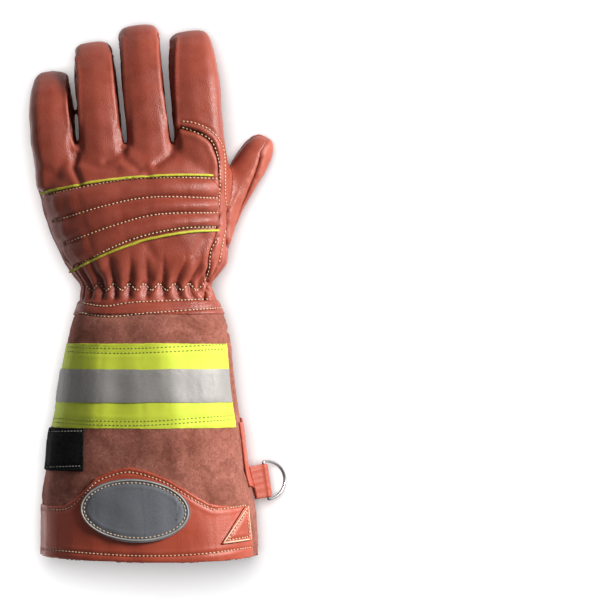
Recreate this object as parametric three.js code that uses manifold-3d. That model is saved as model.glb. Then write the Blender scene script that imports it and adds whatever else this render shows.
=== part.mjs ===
// A left-hand firefighter glove with a flared gauntlet cuff, lying by itself on its palm.
// Millimetres, +Z up. The fingers point along +Y, the thumb is on the +X side, the back of the
// hand faces up. The wrist's elastic is at y = 0 while the pieces are made, and the finished
// group is then set with its origin under the middle of its box, on the surface it lies on.
import * as THREE from "three";
import { mergeVertices } from "three/addons/utils/BufferGeometryUtils.js";
import Module from "manifold-3d";

const wasm = await Module();
wasm.setup();

// Driving dimensions
const seamGap = 0.3; // between two pieces that are sewn together
const leatherWall = 2.4; // grain leather and lining of the hand
const suedeWall = 2.2; // split leather of the gauntlet
const patchThick = 1.4; // leather patches sewn on the gauntlet

const palmWidth = 126; // across the knuckles
const palmLength = 94; // wrist elastic to finger crotches
const palmHeight = 54; // floor to the highest knuckle
const fingerLength = 99; // middle finger in plan, from inside the palm
const fingerWidth = 29; // mean width of a finger
const fingerDepth = 28; // back to pad of a finger
const fingerWaist = 28.5; // height of a finger's middle where it leaves the palm
const thumbLength = 100.5; // in plan, from inside the ball of the thumb
const thumbWidth = 27;
const thumbDepth = 25;

const cuffLength = 167; // wrist elastic to hem
const hemWidth = 142;
const hemHeight = 66;
const hemBow = 2.5; // how much longer the hem is at its middle
const gatherDepth = 0.9; // pleats at the wrist elastic

const bandFrom = -4; // wrist band, measured along y from the elastic
const bandWidth = 9;
const bandThick = 1.2;

const tapeTop = -31.6; // reflective tape, its upper edge
const tapeWidth = 53.2;
const silverWidth = 21;
const tapeThick = 0.8;
const silverThick = 0.5;

const strapTop = -75; // closure strap's upper edge
const strapWidth = 44;
const strapThick = 2.0;
const loopTop = -85.2; // black loop tape's upper edge
const loopWidth = 27.2;
const loopThick = 1.6;
const strapBaseThick = 1.4;

const padThick = 3.4; // quilted knuckle pad at the crown of a channel
const padSeamThick = 1.3; // the same pad at a stitched line
const pipingRadius = 0.9;

const ovalWidth = 69.2;
const ovalHeight = 39.8;
const ovalTilt = THREE.MathUtils.degToRad(-3);
const wristPatchWidth = 80;
const wristPatchDepth = 52;

const ringWire = 2.0; // diameter of the ring's wire
const ringInside = 23; // clear width of the ring's straight bar
const ringDepth = 17; // bar's middle to the middle of the arc's wire
const tabWidth = 21.5;
const tabThick = 1.5;
const tabReach = 13; // from the cuff's side to the ring's bar
const tabSlope = THREE.MathUtils.degToRad(25);
const tabTurn = THREE.MathUtils.degToRad(8); // the tab leans as the cuff's side does
const barClearance = 0.35;

// Derived sizes
const strapStack = seamGap * 3 + strapBaseThick + loopThick + strapThick;
const strapBottom = strapTop - strapWidth;
const baseLayer = seamGap; // offset of what is sewn straight onto the cuff
const loopLayer = baseLayer + strapBaseThick + seamGap;
const strapLayer = loopLayer + loopThick + seamGap;

const trunkSides = 30;
const fingerSides = 12;
const thumbSides = 14;
const hollowShare = 2 / 3; // the hollow inside a wall has this share of the outside's facets

// Sections of the trunk, from the hem to the finger crotches. along is a share of cuffLength
// below the elastic or of palmLength above it; left and right are shares of hemWidth or
// palmWidth, high a share of hemHeight or palmHeight, lift a share of the strap's stack that
// lies under the cuff; waist is the share of the section's height where it is widest.
const cuffRows = [
  { along: 1.0, left: -0.493, right: 0.49, lift: 0.0, high: 1.0, waist: 0.3, gather: 0 },
  { along: 0.83, left: -0.487, right: 0.479, lift: 0.5, high: 0.99, waist: 0.28, gather: 0 },
  { along: 0.74, left: -0.487, right: 0.457, lift: 1.0, high: 0.985, waist: 0.26, gather: 0 },
  { along: 0.68, left: -0.472, right: 0.438, lift: 1.0, high: 0.975, waist: 0.27, gather: 0 },
  { along: 0.56, left: -0.46, right: 0.423, lift: 1.0, high: 0.955, waist: 0.28, gather: 0 },
  { along: 0.43, left: -0.428, right: 0.399, lift: 1.0, high: 0.925, waist: 0.3, gather: 0 },
  { along: 0.3, left: -0.402, right: 0.379, lift: 1.25, high: 0.88, waist: 0.34, gather: 0 },
  { along: 0.19, left: -0.377, right: 0.365, lift: 1.5, high: 0.84, waist: 0.38, gather: 0 },
  { along: 0.1, left: -0.354, right: 0.338, lift: 1.7, high: 0.79, waist: 0.42, gather: 0 },
  { along: 0.055, left: -0.331, right: 0.32, lift: 1.85, high: 0.765, waist: 0.45, gather: 0.25 },
];
const palmRows = [
  { along: 0.0, left: -0.352, right: 0.322, low: 0.19, high: 0.87, waist: 0.46, gather: 0.6 },
  { along: 0.062, left: -0.342, right: 0.282, low: 0.2, high: 0.86, waist: 0.46, gather: 1.0 },
  { along: 0.125, left: -0.395, right: 0.338, low: 0.12, high: 0.91, waist: 0.46, gather: 1.0 },
  { along: 0.22, left: -0.442, right: 0.392, low: 0.04, high: 0.96, waist: 0.45, gather: 0.5 },
  { along: 0.42, left: -0.506, right: 0.4, low: 0.0, high: 1.0, waist: 0.45, gather: 0 },
  { along: 0.6, left: -0.552, right: 0.405, low: 0.0, high: 1.0, waist: 0.45, gather: 0 },
  { along: 0.73, left: -0.568, right: 0.408, low: 0.03, high: 0.975, waist: 0.46, gather: 0 },
  { along: 0.86, left: -0.575, right: 0.403, low: 0.11, high: 0.9, waist: 0.46, gather: 0 },
  { along: 1.0, left: -0.57, right: 0.385, low: 0.21, high: 0.77, waist: 0.46, gather: 0 },
];

// Soft folds of the cuff and palm, pressed inwards. turn is the angle round the trunk in degrees
// from the thumb side, over the back; y its middle as a share of cuffLength; spread in degrees,
// reach a share of cuffLength; depth in shares of suedeWall.
const folds = [
  { turn: 250, y: -0.86, spread: 9, reach: 0.14, depth: 1.3 },
  { turn: 270, y: -0.84, spread: 9, reach: 0.16, depth: 1.6 },
  { turn: 290, y: -0.86, spread: 9, reach: 0.15, depth: 1.7 },
  { turn: 243, y: -0.28, spread: 12, reach: 0.13, depth: 1.3 },
  { turn: 275, y: 0.16, spread: 24, reach: 0.14, depth: 0.8 },
  { turn: 128, y: -0.62, spread: 20, reach: 0.25, depth: 0.9 },
];

// Fingers. rootX and tipX are shares of palmWidth, width of fingerWidth, length of fingerLength,
// end is the share of the width that is left at the blunt tip.
const fingers = [
  { name: "little", rootX: -0.47, tipX: -0.5, length: 0.71, root: 0.9, width: 1.03, depth: 0.93, end: 0.56 },
  { name: "ring", rootX: -0.224, tipX: -0.296, length: 0.907, root: 1.04, width: 1.015, depth: 1, end: 0.7 },
  { name: "middle", rootX: 0.026, tipX: -0.064, length: 1.015, root: 1.03, width: 0.98, depth: 1, end: 0.84 },
  { name: "index", rootX: 0.272, tipX: 0.197, length: 0.98, root: 1.12, width: 1.14, depth: 1.02, end: 0.64 },
];
// Sections along a finger: rise is the height over fingerWaist as a share of fingerDepth, blend
// how much of the width has gone from root to full, taper how much of it has gone to the tip.
const fingerRows = [
  { along: 0.0, rise: -0.04, thick: 1.1, blend: 0, taper: 0 },
  { along: 0.23, rise: 0.01, thick: 1.1, blend: 0.1, taper: 0 },
  { along: 0.42, rise: 0.05, thick: 1.0, blend: 1, taper: 0 },
  { along: 0.56, rise: 0.04, thick: 0.97, blend: 1, taper: 0 },
  { along: 0.69, rise: -0.06, thick: 0.98, blend: 1, taper: 0 },
  { along: 0.79, rise: -0.21, thick: 0.97, blend: 1, taper: 0.04 },
  { along: 0.87, rise: -0.38, thick: 0.94, blend: 1, taper: 0.18 },
  { along: 0.93, rise: -0.53, thick: 0.88, blend: 1, taper: 0.36 },
  { along: 0.97, rise: -0.64, thick: 0.76, blend: 1, taper: 0.62 },
  { along: 1.0, rise: -0.73, thick: 0.5, blend: 1, taper: 1 },
];
const fingerStart = 0.72; // where a finger's first section lies, as a share of palmLength
const fourchetteFrom = 0.2; // a finger's side walls, as shares of its length
const fourchetteTo = 0.94;
const fourchetteHeight = 0.27; // half their height, as a share of the finger's thickness
const fourchetteInset = 0.6; // the side walls lie this far inside the sewn edges

// Thumb, along a line in plan from root to tip, given as shares of palmWidth and palmLength.
const thumbLine = { rootX: 0.19, rootY: 0.14, tipX: 0.6, tipY: 1.1 };
const thumbRows = [
  { along: 0.0, wide: 0.9, thick: 0.95, height: 0.4 },
  { along: 0.14, wide: 1.15, thick: 1.25, height: 0.38 },
  { along: 0.3, wide: 1.12, thick: 1.3, height: 0.34 },
  { along: 0.42, wide: 0.86, thick: 1.12, height: 0.3 },
  { along: 0.54, wide: 0.77, thick: 1.0, height: 0.27 },
  { along: 0.67, wide: 0.83, thick: 0.97, height: 0.24 },
  { along: 0.81, wide: 0.86, thick: 0.93, height: 0.215 },
  { along: 0.91, wide: 0.78, thick: 0.84, height: 0.2 },
  { along: 0.97, wide: 0.58, thick: 0.66, height: 0.185 },
  { along: 1.0, wide: 0.36, thick: 0.42, height: 0.18 },
];
const thumbSeam = 0.24; // height of its seam over its middle, as a share of thumbDepth

// Seam of the back panel towards the index finger and the thumb, in plan, as shares of palmWidth
// and palmLength.
const backSeam = [
  { x: 0.15, y: 1.12 },
  { x: 0.25, y: 1.095 },
  { x: 0.318, y: 1.02 },
  { x: 0.349, y: 0.92 },
  { x: 0.358, y: 0.75 },
  { x: 0.356, y: 0.51 },
  { x: 0.338, y: 0.39 },
  { x: 0.308, y: 0.26 },
  { x: 0.29, y: 0.12 },
  { x: 0.279, y: -0.2 },
];

// Stitched lines across the knuckle pad, from the upper to the lower piping. peak is where a line
// is highest, in shares of palmLength, apex its x there and sag its fall over the pad's width.
const padLines = [
  { apex: 0.222, peak: 0.786, sag: 0.169 },
  { apex: 0.222, peak: 0.647, sag: 0.287 },
  { apex: 0.278, peak: 0.545, sag: 0.355 },
  { apex: 0.353, peak: 0.443, sag: 0.41 },
];
const padReach = 0.913; // share of palmWidth over which the sag is counted

// The cuff's thumb-side seam and the hem panel's upper edge, as shares of hemWidth and cuffLength.
const cuffSeam = [
  { x: 0.338, y: -0.06 },
  { x: 0.352, y: -0.2 },
  { x: 0.387, y: -0.49 },
  { x: 0.432, y: -0.75 },
  { x: 0.49, y: -1.06 },
];
const hemEdge = [
  { x: -0.6, y: -0.812 },
  { x: -0.378, y: -0.805 },
  { x: -0.31, y: -0.765 },
  { x: -0.236, y: -0.6975 },
  { x: -0.1535, y: -0.665 },
  { x: -0.082, y: -0.654 },
  { x: 0.0, y: -0.668 },
  { x: 0.09, y: -0.699 },
  { x: 0.178, y: -0.746 },
  { x: 0.2655, y: -0.79 },
  { x: 0.31, y: -0.8 },
  { x: 0.6, y: -0.793 },
];
const cornerPatch = [
  { x: 0.3225, y: -0.9455 },
  { x: 0.43, y: -0.805 },
  { x: 0.455, y: -0.935 },
];
const ovalCentre = { x: -0.057, y: -0.817 };

// Solids

// A closed geometry as a manifold solid with its faces pointing outwards.
function solid(geometry) {
  const bare = new THREE.BufferGeometry();
  bare.setAttribute("position", geometry.getAttribute("position"));
  bare.setIndex(geometry.getIndex());
  const merged = mergeVertices(bare, 1e-4);
  const triVerts = new Uint32Array(merged.index.array);
  const vertProperties = merged.attributes.position.array;
  const made = new wasm.Manifold(new wasm.Mesh({ numProp: 3, vertProperties, triVerts }));
  if (made.volume() > 0) return made;
  for (let i = 0; i < triVerts.length; i += 3) {
    [triVerts[i + 1], triVerts[i + 2]] = [triVerts[i + 2], triVerts[i + 1]];
  }
  return new wasm.Manifold(new wasm.Mesh({ numProp: 3, vertProperties, triVerts }));
}

function geometryOf(made) {
  const mesh = made.getMesh();
  const positions = new Float32Array(mesh.numVert * 3);
  for (let i = 0; i < mesh.numVert; i++) {
    const from = i * mesh.numProp;
    positions.set(mesh.vertProperties.subarray(from, from + 3), i * 3);
  }
  const geometry = new THREE.BufferGeometry();
  geometry.setAttribute("position", new THREE.BufferAttribute(positions, 3));
  geometry.setIndex(new THREE.BufferAttribute(mesh.triVerts, 1));
  return geometry;
}

// The largest piece of a cut solid: a boolean can leave crumbs along a grazing seam.
function whole(made) {
  const merged = solid(mergeVertices(geometryOf(made), 1e-3));
  return merged.decompose().reduce((best, part) => (part.volume() > best.volume() ? part : best));
}

// A tube with closed ends: a cylinder whose rings are moved to place(turn, row).
function loft(sides, rows, place) {
  const geometry = new THREE.CylinderGeometry(1, 1, 1, sides, rows - 1);
  const position = geometry.getAttribute("position");
  const middles = [];
  for (let row = 0; row < rows; row++) {
    const middle = new THREE.Vector3();
    for (let i = 0; i < sides; i++) {
      middle.add(place((i / sides) * 2 * Math.PI, row, i));
    }
    middles.push(middle.divideScalar(sides));
  }
  for (let i = 0; i < position.count; i++) {
    const row = Math.round((position.getY(i) + 0.5) * (rows - 1));
    const radius = Math.hypot(position.getX(i), position.getZ(i));
    let point = middles[row];
    if (radius > 0.5) {
      const turn = Math.atan2(position.getZ(i), position.getX(i));
      const step = Math.round((turn / (2 * Math.PI)) * sides);
      const side = (step + sides) % sides;
      point = place((side / sides) * 2 * Math.PI, row, side);
    }
    position.setXYZ(i, point.x, point.y, point.z);
  }
  return solid(geometry);
}

// A thin sheet with its own grid: a box whose two faces are moved to place(u, v, upper).
function sheet(columns, rows, place) {
  const geometry = new THREE.BoxGeometry(1, 1, 1, columns, rows, 1);
  const position = geometry.getAttribute("position");
  for (let i = 0; i < position.count; i++) {
    const u = position.getX(i) + 0.5;
    const v = position.getY(i) + 0.5;
    const point = place(u, v, position.getZ(i) > 0);
    position.setXYZ(i, point.x, point.y, point.z);
  }
  return solid(geometry);
}

// An outline in plan, standing from one height to another.
function prism(points, from, to) {
  const shape = new THREE.Shape(points.map((p) => new THREE.Vector2(p.x, p.y)));
  const geometry = new THREE.ExtrudeGeometry(shape, { depth: to - from, bevelEnabled: false });
  geometry.translate(0, 0, from);
  return solid(geometry);
}

function block(x0, x1, y0, y1, z0, z1) {
  const geometry = new THREE.BoxGeometry(x1 - x0, y1 - y0, z1 - z0);
  geometry.translate((x0 + x1) / 2, (y0 + y1) / 2, (z0 + z1) / 2);
  return solid(geometry);
}

function between(rows, key, value) {
  const last = rows.length - 1;
  const i = Math.min(Math.max(rows.findIndex((r) => r[key] > value), 1), last);
  const at = rows[rows.at(-1)[key] <= value ? last : i];
  const before = rows[rows.indexOf(at) - 1];
  const share = THREE.MathUtils.clamp((value - before[key]) / (at[key] - before[key]), 0, 1);
  return (column) => THREE.MathUtils.lerp(before[column], at[column], share);
}

const signedPower = (value, power) => Math.sign(value) * Math.abs(value) ** power;

// Trunk: one soft tube from the hem to the finger crotches

const trunkRows = [
  ...cuffRows.map((r) => ({
    ...r,
    y: -r.along * cuffLength,
    left: r.left * hemWidth,
    right: r.right * hemWidth,
    low: r.lift * strapStack,
    high: r.high * hemHeight,
  })),
  ...palmRows.map((r) => ({
    ...r,
    y: r.along * palmLength,
    left: r.left * palmWidth,
    right: r.right * palmWidth,
    low: r.low * palmHeight,
    high: r.high * palmHeight,
  })),
];

const crownSkew = 0.16; // the cuff's crown leans towards the thumb by this share of its width
const underFlat = 1.3; // the underside is flat where the round would go past this share

function foldDepth(turn, y) {
  const degrees = THREE.MathUtils.radToDeg(turn);
  return folds.reduce((sum, fold) => {
    const round = (degrees - fold.turn) / fold.spread;
    const along = (y / cuffLength - fold.y) / fold.reach;
    return sum + fold.depth * suedeWall * Math.exp(-round * round - along * along);
  }, 0);
}

// A point of the trunk's skin, moved outwards by offset.
function trunkPoint(turn, y, offset, pleat = 0) {
  const row = between(trunkRows, "y", y);
  const halfWidth = (row("right") - row("left")) / 2 + offset;
  const middle = (row("right") + row("left")) / 2;
  const low = row("low");
  const waist = THREE.MathUtils.lerp(low, row("high"), row("waist"));
  const across = Math.cos(turn);
  const upward = Math.sin(turn);
  const onCuff = THREE.MathUtils.clamp(-y / cuffLength, 0, 1);
  const top = upward > 0;
  const push = pleat * row("gather") * gatherDepth - foldDepth(turn, y);
  const x = signedPower(across, top ? 0.86 : 0.72);
  let z = signedPower(upward, top ? 0.86 : 0.72);
  if (!top) z = Math.max(z * underFlat, -1);
  const rise = top ? row("high") - waist : waist - low;
  const bow = hemBow * onCuff * onCuff * (1 - x * x);
  const skew = top ? crownSkew * Math.min(onCuff * 2, 1) : 0;
  const lean = skew * z * halfWidth * (1 - Math.abs(x));
  return new THREE.Vector3(
    middle + x * (halfWidth + push) + lean,
    y - bow,
    waist + z * (rise + offset + push),
  );
}

// The whole skin at one offset, or at an offset that follows the turn.
function trunk(offset, from, to) {
  const inner = trunkRows.filter((r) => r.y > from + 0.5 && r.y < to - 0.5).map((r) => r.y);
  const stations = [from, ...inner, to];
  const offsetAt = typeof offset === "function" ? offset : () => offset;
  const pleated = (turn, row, side) => trunkPoint(turn, stations[row], offsetAt(turn), side % 2 ? -1 : 1);
  const plain = (turn, row) => trunkPoint(turn, stations[row], offset);
  if (offset < 0) return loft(trunkSides * hollowShare, stations.length, plain);
  return loft(trunkSides, stations.length, pleated);
}

const hemY = -cuffLength;
const jointY = bandFrom - bandWidth / 2; // where the hand's leather meets the gauntlet
const crotchY = palmLength;

// Fingers

function fingerFrame(finger) {
  const root = new THREE.Vector3(finger.rootX * palmWidth, fingerStart * palmLength, 0);
  const tip = new THREE.Vector3(finger.tipX * palmWidth, root.y + finger.length * fingerLength, 0);
  const points = fingerRows.map((row) => {
    const point = new THREE.Vector3().lerpVectors(root, tip, row.along);
    point.z = fingerWaist + row.rise * fingerDepth;
    return point;
  });
  return fingerRows.map((row, i) => {
    const before = points[Math.max(i - 1, 0)];
    const after = points[Math.min(i + 1, points.length - 1)];
    const tangent = new THREE.Vector3().subVectors(after, before).normalize();
    const aside = new THREE.Vector3(tangent.y, -tangent.x, 0).normalize();
    const up = new THREE.Vector3().crossVectors(aside, tangent).normalize();
    const full = fingerWidth * THREE.MathUtils.lerp(finger.root, finger.width, row.blend);
    const halfWidth = (full * THREE.MathUtils.lerp(1, finger.end, row.taper)) / 2;
    const halfThick = (fingerDepth * finger.depth * row.thick) / 2;
    return { point: points[i], tangent, aside, up, halfWidth, halfThick };
  });
}

// A tube along a line of sections, moved outwards by offset; its last section moves too. The
// leather is flat where it rests on z = 0. A hollow inside it has fewer sides and takes every
// other section.
function limb(sections, outerSides, power, offset) {
  const hollow = offset < 0;
  const sides = hollow ? Math.round(outerSides * hollowShare) : outerSides;
  const final = sections.length - 1;
  const frame = hollow ? sections.filter((f, i) => i % 2 === 0 || i >= final - 1) : sections;
  const last = frame.length - 1;
  return loft(sides, frame.length, (turn, row) => {
    const f = frame[row];
    const x = signedPower(Math.cos(turn), power) * Math.max(f.halfWidth + offset, 0.5);
    const z = signedPower(Math.sin(turn), power) * Math.max(f.halfThick + offset, 0.5);
    const point = f.point.clone().addScaledVector(f.aside, x).addScaledVector(f.up, z);
    if (row === last) point.addScaledVector(f.tangent, offset);
    point.z = Math.max(point.z, -offset);
    return point;
  });
}

// A slab along a finger, from one share of its width to another and between two heights given
// as shares of its half thickness; grow moves each of its faces outwards.
function fingerSlab(finger, from, to, side, low, high, grow) {
  const frame = fingerFrame(finger);
  const at = (share) => {
    const row = between(fingerRows.map((r, i) => ({ along: r.along, i })), "along", share)("i");
    const a = frame[Math.floor(row)];
    const b = frame[Math.min(Math.floor(row) + 1, frame.length - 1)];
    const mix = row - Math.floor(row);
    return {
      point: a.point.clone().lerp(b.point, mix),
      aside: a.aside.clone().lerp(b.aside, mix).normalize(),
      up: a.up.clone().lerp(b.up, mix).normalize(),
      halfThick: THREE.MathUtils.lerp(a.halfThick, b.halfThick, mix),
    };
  };
  const reach = (fingerWidth * finger.width) / 2 + 1.2;
  const spread = side === 0 ? [-reach, reach] : [0, side * reach];
  const thick = (fingerDepth * finger.depth) / 2;
  const isInside = (share) => share > from + 0.01 && share < to - 0.01;
  const stations = [from, ...fingerRows.map((r) => r.along).filter(isInside), to];
  return sheet(1, stations.length - 1, (u, v, upper) => {
    const share = stations[Math.round(v * (stations.length - 1))];
    const f = at(share);
    const way = (u > 0.5 ? 1 : -1) * Math.sign(spread[1] - spread[0]);
    const x = THREE.MathUtils.lerp(spread[0], spread[1], u) + way * grow;
    const z = upper ? high * thick + grow : low * thick - grow;
    const end = v === 0 ? -grow : v === 1 ? grow : 0;
    const point = f.point.clone().addScaledVector(f.aside, x).addScaledVector(f.up, z);
    point.y += end;
    return point;
  });
}

const fingerSkins = (offset) =>
  fingers.map((finger) => limb(fingerFrame(finger), fingerSides, 0.6, offset));

// Thumb

const thumbFrame = (() => {
  const root = new THREE.Vector3(thumbLine.rootX * palmWidth, thumbLine.rootY * palmLength, 0);
  const way = new THREE.Vector3(
    (thumbLine.tipX - thumbLine.rootX) * palmWidth,
    (thumbLine.tipY - thumbLine.rootY) * palmLength,
    0,
  ).normalize();
  const points = thumbRows.map((row) => {
    const point = root.clone().addScaledVector(way, row.along * thumbLength);
    point.z = row.height * palmHeight;
    return point;
  });
  return thumbRows.map((row, i) => {
    const before = points[Math.max(i - 1, 0)];
    const after = points[Math.min(i + 1, points.length - 1)];
    const tangent = new THREE.Vector3().subVectors(after, before).normalize();
    const aside = new THREE.Vector3(tangent.y, -tangent.x, 0).normalize();
    const up = new THREE.Vector3().crossVectors(aside, tangent).normalize();
    const halfWidth = (thumbWidth * row.wide) / 2;
    const halfThick = (thumbDepth * row.thick) / 2;
    return { point: points[i], tangent, aside, up, halfWidth, halfThick };
  });
})();
const thumb = (offset) => limb(thumbFrame, thumbSides, 0.8, offset);

const union = (parts) => parts.reduce((sum, part) => sum.add(part));

// Hand: panels cut from one hollow shell along its seams

const palmBody = (offset, from = jointY + seamGap / 2) => trunk(offset, from, crotchY + offset);
const handOuter = (offset) => union([palmBody(offset), ...fingerSkins(offset)]);
const handHollow = union([palmBody(-leatherWall, jointY - 10), ...fingerSkins(-leatherWall)]);
const thumbHollow = thumb(-leatherWall);
const handShell = handOuter(0).subtract(handHollow).subtract(thumbHollow);

const scaled = (points, width, length) => points.map((p) => ({ x: p.x * width, y: p.y * length }));

// Everything above the seam between back and palm, but not the index finger or the thumb side.
function backRegion(grow) {
  const seam = scaled(backSeam, palmWidth, palmLength).map((p) => ({ x: p.x + grow, y: p.y }));
  const outline = [
    { x: -palmWidth, y: seam.at(-1).y },
    { x: -palmWidth, y: crotchY + 2 + grow },
    { x: seam[0].x - 3 - 2 * grow, y: crotchY + 2 + grow },
    { x: seam[0].x - 1 - 2 * grow, y: seam[0].y + grow },
    ...seam,
  ];
  const waist = fingerWaist - grow;
  const slabs = fingers.slice(0, 3).map((f) => fingerSlab(f, 0.1, 1.06, 0, 0, 2.2, grow));
  return union([prism(outline, waist, palmHeight * 2), ...slabs]);
}

function fourchetteRegion(inner, outer, grow) {
  const h = fourchetteHeight * 2;
  return union([
    fingerSlab(inner, fourchetteFrom, fourchetteTo, 1, -h, h, grow),
    fingerSlab(outer, fourchetteFrom, fourchetteTo, -1, -h, h, grow),
  ]);
}

const fourchettes = fingers.slice(0, 3).map((finger, i) => ({
  name: "fourchette_" + finger.name + "_" + fingers[i + 1].name,
  region: (grow) => fourchetteRegion(finger, fingers[i + 1], grow),
}));
const fourchetteCut = union(fourchettes.map((f) => f.region(seamGap)));
const sideShell = handOuter(-fourchetteInset).subtract(handHollow);

const backPanel = handShell.intersect(backRegion(0)).subtract(fourchetteCut);
const palmPanel = handShell.subtract(backRegion(seamGap)).subtract(fourchetteCut);
const thumbShell = thumb(0).subtract(thumbHollow).subtract(handOuter(seamGap));

// The thumb's front and back meet in a seam along its length.
const thumbSplit = (() => {
  const first = thumbFrame[0];
  const last = thumbFrame.at(-1);
  const way = new THREE.Vector3().subVectors(last.point, first.point).setZ(0).normalize();
  const middle = new THREE.Vector3().addVectors(first.point, last.point).divideScalar(2);
  return (grow) => {
    const geometry = new THREE.BoxGeometry(thumbLength, thumbLength * 2, palmHeight * 2);
    geometry.translate(0, 0, palmHeight + thumbSeam * thumbDepth - grow);
    geometry.rotateZ(Math.atan2(-way.x, way.y));
    geometry.translate(middle.x, middle.y, middle.z);
    return solid(geometry);
  };
})();

// What is sewn on the trunk: the part of an outline that lies between two offsets of its skin
const layer = (region, from, to) => {
  const skin = trunk(to, hemY, 0).subtract(trunk(from, hemY - 1, 4));
  return whole(skin.intersect(region));
};

const farOut = 200; // beyond every piece
const seamX = (y) => between([...cuffSeam].reverse(), "y", y / cuffLength)("x") * hemWidth;
const seamLine = (from, to, inset) =>
  [from, (from + to) / 2, to].map((y) => ({ x: seamX(y) - inset, y }));

// Gauntlet

const cuffShell = trunk(0, hemY, jointY - seamGap / 2).subtract(trunk(-suedeWall, hemY - 1, jointY + 1));
const cuffWaist = (y) => {
  const row = between(trunkRows, "y", y);
  return THREE.MathUtils.lerp(row("low"), row("high"), row("waist"));
};
function cuffBackRegion(grow) {
  const seam = scaled(cuffSeam, hemWidth, cuffLength).map((p) => ({ x: p.x + grow, y: p.y }));
  const outline = [
    { x: -farOut, y: jointY + 5 },
    { x: seam[0].x, y: jointY + 5 },
    ...seam,
    { x: -farOut, y: seam.at(-1).y },
  ];
  return prism(outline, cuffWaist(-cuffLength / 2) - grow, farOut);
}

const wristBand = layer(
  block(-farOut, farOut, bandFrom - bandWidth, bandFrom, -farOut, farOut),
  seamGap,
  seamGap + bandThick,
);

function tapeRegion(top, width, under) {
  const outline = [
    { x: -farOut, y: top },
    ...seamLine(top, top - width, 0.6),
    { x: -farOut, y: top - width },
  ];
  return prism(outline, cuffWaist(tapeTop - tapeWidth / 2) - under, farOut);
}
const silverTop = tapeTop - (tapeWidth - silverWidth) / 2;
const limeTape = layer(tapeRegion(tapeTop, tapeWidth, 10), seamGap, seamGap + tapeThick);
const silverLayer = seamGap * 2 + tapeThick;
const silverTape = layer(tapeRegion(silverTop, silverWidth, 9), silverLayer, silverLayer + silverThick);

const keeperLayer = silverLayer + silverThick + seamGap;
const keeperHigh = cuffWaist(silverTop) - 3;
const keeperPatch = layer(
  block(-farOut, 0, silverTop - silverWidth - 4, silverTop + 4, keeperHigh - 12, keeperHigh),
  keeperLayer,
  keeperLayer + tapeThick,
);

const hemOutline = [
  ...scaled(hemEdge, hemWidth, cuffLength),
  { x: seamX(hemY * 0.81) - 0.6, y: -0.806 * cuffLength },
].sort((a, b) => a.x - b.x);
const hemInside = hemOutline.filter((p) => p.x <= seamX(hemY * 0.81) - 0.5);
const hemRegion = prism(
  [
    { x: -farOut, y: hemOutline[0].y },
    ...hemInside.slice(1),
    { x: seamX(hemY) - 0.6, y: hemY },
    { x: seamX(hemY) - 0.6, y: hemY * 1.1 },
    { x: -farOut, y: hemY * 1.1 },
  ],
  cuffWaist(hemY * 0.9),
  farOut,
);
const hemPanel = layer(hemRegion, seamGap, seamGap + patchThick);
const onHem = seamGap * 2 + patchThick;

const ovalPoints = new THREE.EllipseCurve(
  ovalCentre.x * hemWidth,
  ovalCentre.y * cuffLength,
  ovalWidth / 2,
  ovalHeight / 2,
  0,
  2 * Math.PI,
  false,
  ovalTilt,
).getPoints(32).slice(0, -1);
const ovalPatch = layer(prism(ovalPoints, palmHeight * 0.6, farOut), onHem, onHem + patchThick);
const trianglePatch = layer(
  prism(scaled(cornerPatch, hemWidth, cuffLength), cuffWaist(hemY * 0.9), farOut),
  onHem,
  onHem + patchThick * 0.8,
);

const wristPatchTop = bandFrom - bandWidth - 0.4;
const wristPatchX = -2;
const wristPatchPoints = new THREE.EllipseCurve(
  wristPatchX,
  wristPatchTop,
  wristPatchWidth / 2,
  wristPatchDepth,
  Math.PI,
  2 * Math.PI,
).getPoints(24);
const wristPatch = layer(
  prism(wristPatchPoints, -farOut, cuffWaist(wristPatchTop)),
  seamGap,
  seamGap + patchThick,
);

// Closure: a base strip on the palm side, the black loop tape on it and the leather strap that
// closes over both. Towards the sides the tape and the strap come down onto the cuff itself.

const stacked = (base, stack, turnFrom, turnTo) => (turn) => {
  const degrees = THREE.MathUtils.radToDeg(turn);
  return base + (stack - base) * THREE.MathUtils.smoothstep(degrees, turnFrom, turnTo);
};
const over = (skin, thick) => (turn) => skin(turn) + thick;
const loopUnder = stacked(baseLayer, loopLayer, 204, 228);
const strapUnder = (turn) => {
  const onTape = stacked(baseLayer, strapLayer, 204, 228)(turn);
  const onCuff = stacked(strapLayer, baseLayer, 300, 324)(turn);
  return Math.min(onTape, onCuff);
};

const waistAtStrap = cuffWaist(strapTop - strapWidth / 2);
const strapBase = layer(
  block(
    -0.34 * hemWidth,
    0.25 * hemWidth,
    loopTop - loopWidth - 2.4,
    loopTop + 0.8,
    -farOut,
    waistAtStrap - 6,
  ),
  baseLayer,
  baseLayer + strapBaseThick,
);
const loopTape = layer(
  union([
    block(-farOut, 0.2 * hemWidth, loopTop - loopWidth, loopTop, -farOut, waistAtStrap),
    block(-farOut, -0.287 * hemWidth, loopTop - loopWidth, loopTop, waistAtStrap - 1, farOut),
  ]),
  loopUnder,
  over(loopUnder, loopThick),
);
const strapOutline = (() => {
  const left = -0.125 * hemWidth;
  const corner = strapWidth * 0.3;
  const slant = strapWidth * 0.15;
  const bend = 0.36 * hemWidth;
  const shape = new THREE.Shape();
  shape.moveTo(left + corner, strapTop);
  shape.lineTo(bend, strapTop - slant * 0.6);
  shape.lineTo(farOut, strapTop - slant);
  shape.lineTo(farOut, strapBottom - slant * 0.7);
  shape.lineTo(bend, strapBottom - slant * 0.8);
  shape.lineTo(left + corner, strapBottom);
  shape.absarc(left + corner, strapBottom + corner, corner, -Math.PI / 2, -Math.PI, true);
  shape.absarc(left + corner, strapTop - corner, corner, Math.PI, Math.PI / 2, true);
  return shape.getPoints(4);
})();
const strapEnd = strapTop - strapWidth * 0.15;
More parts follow.
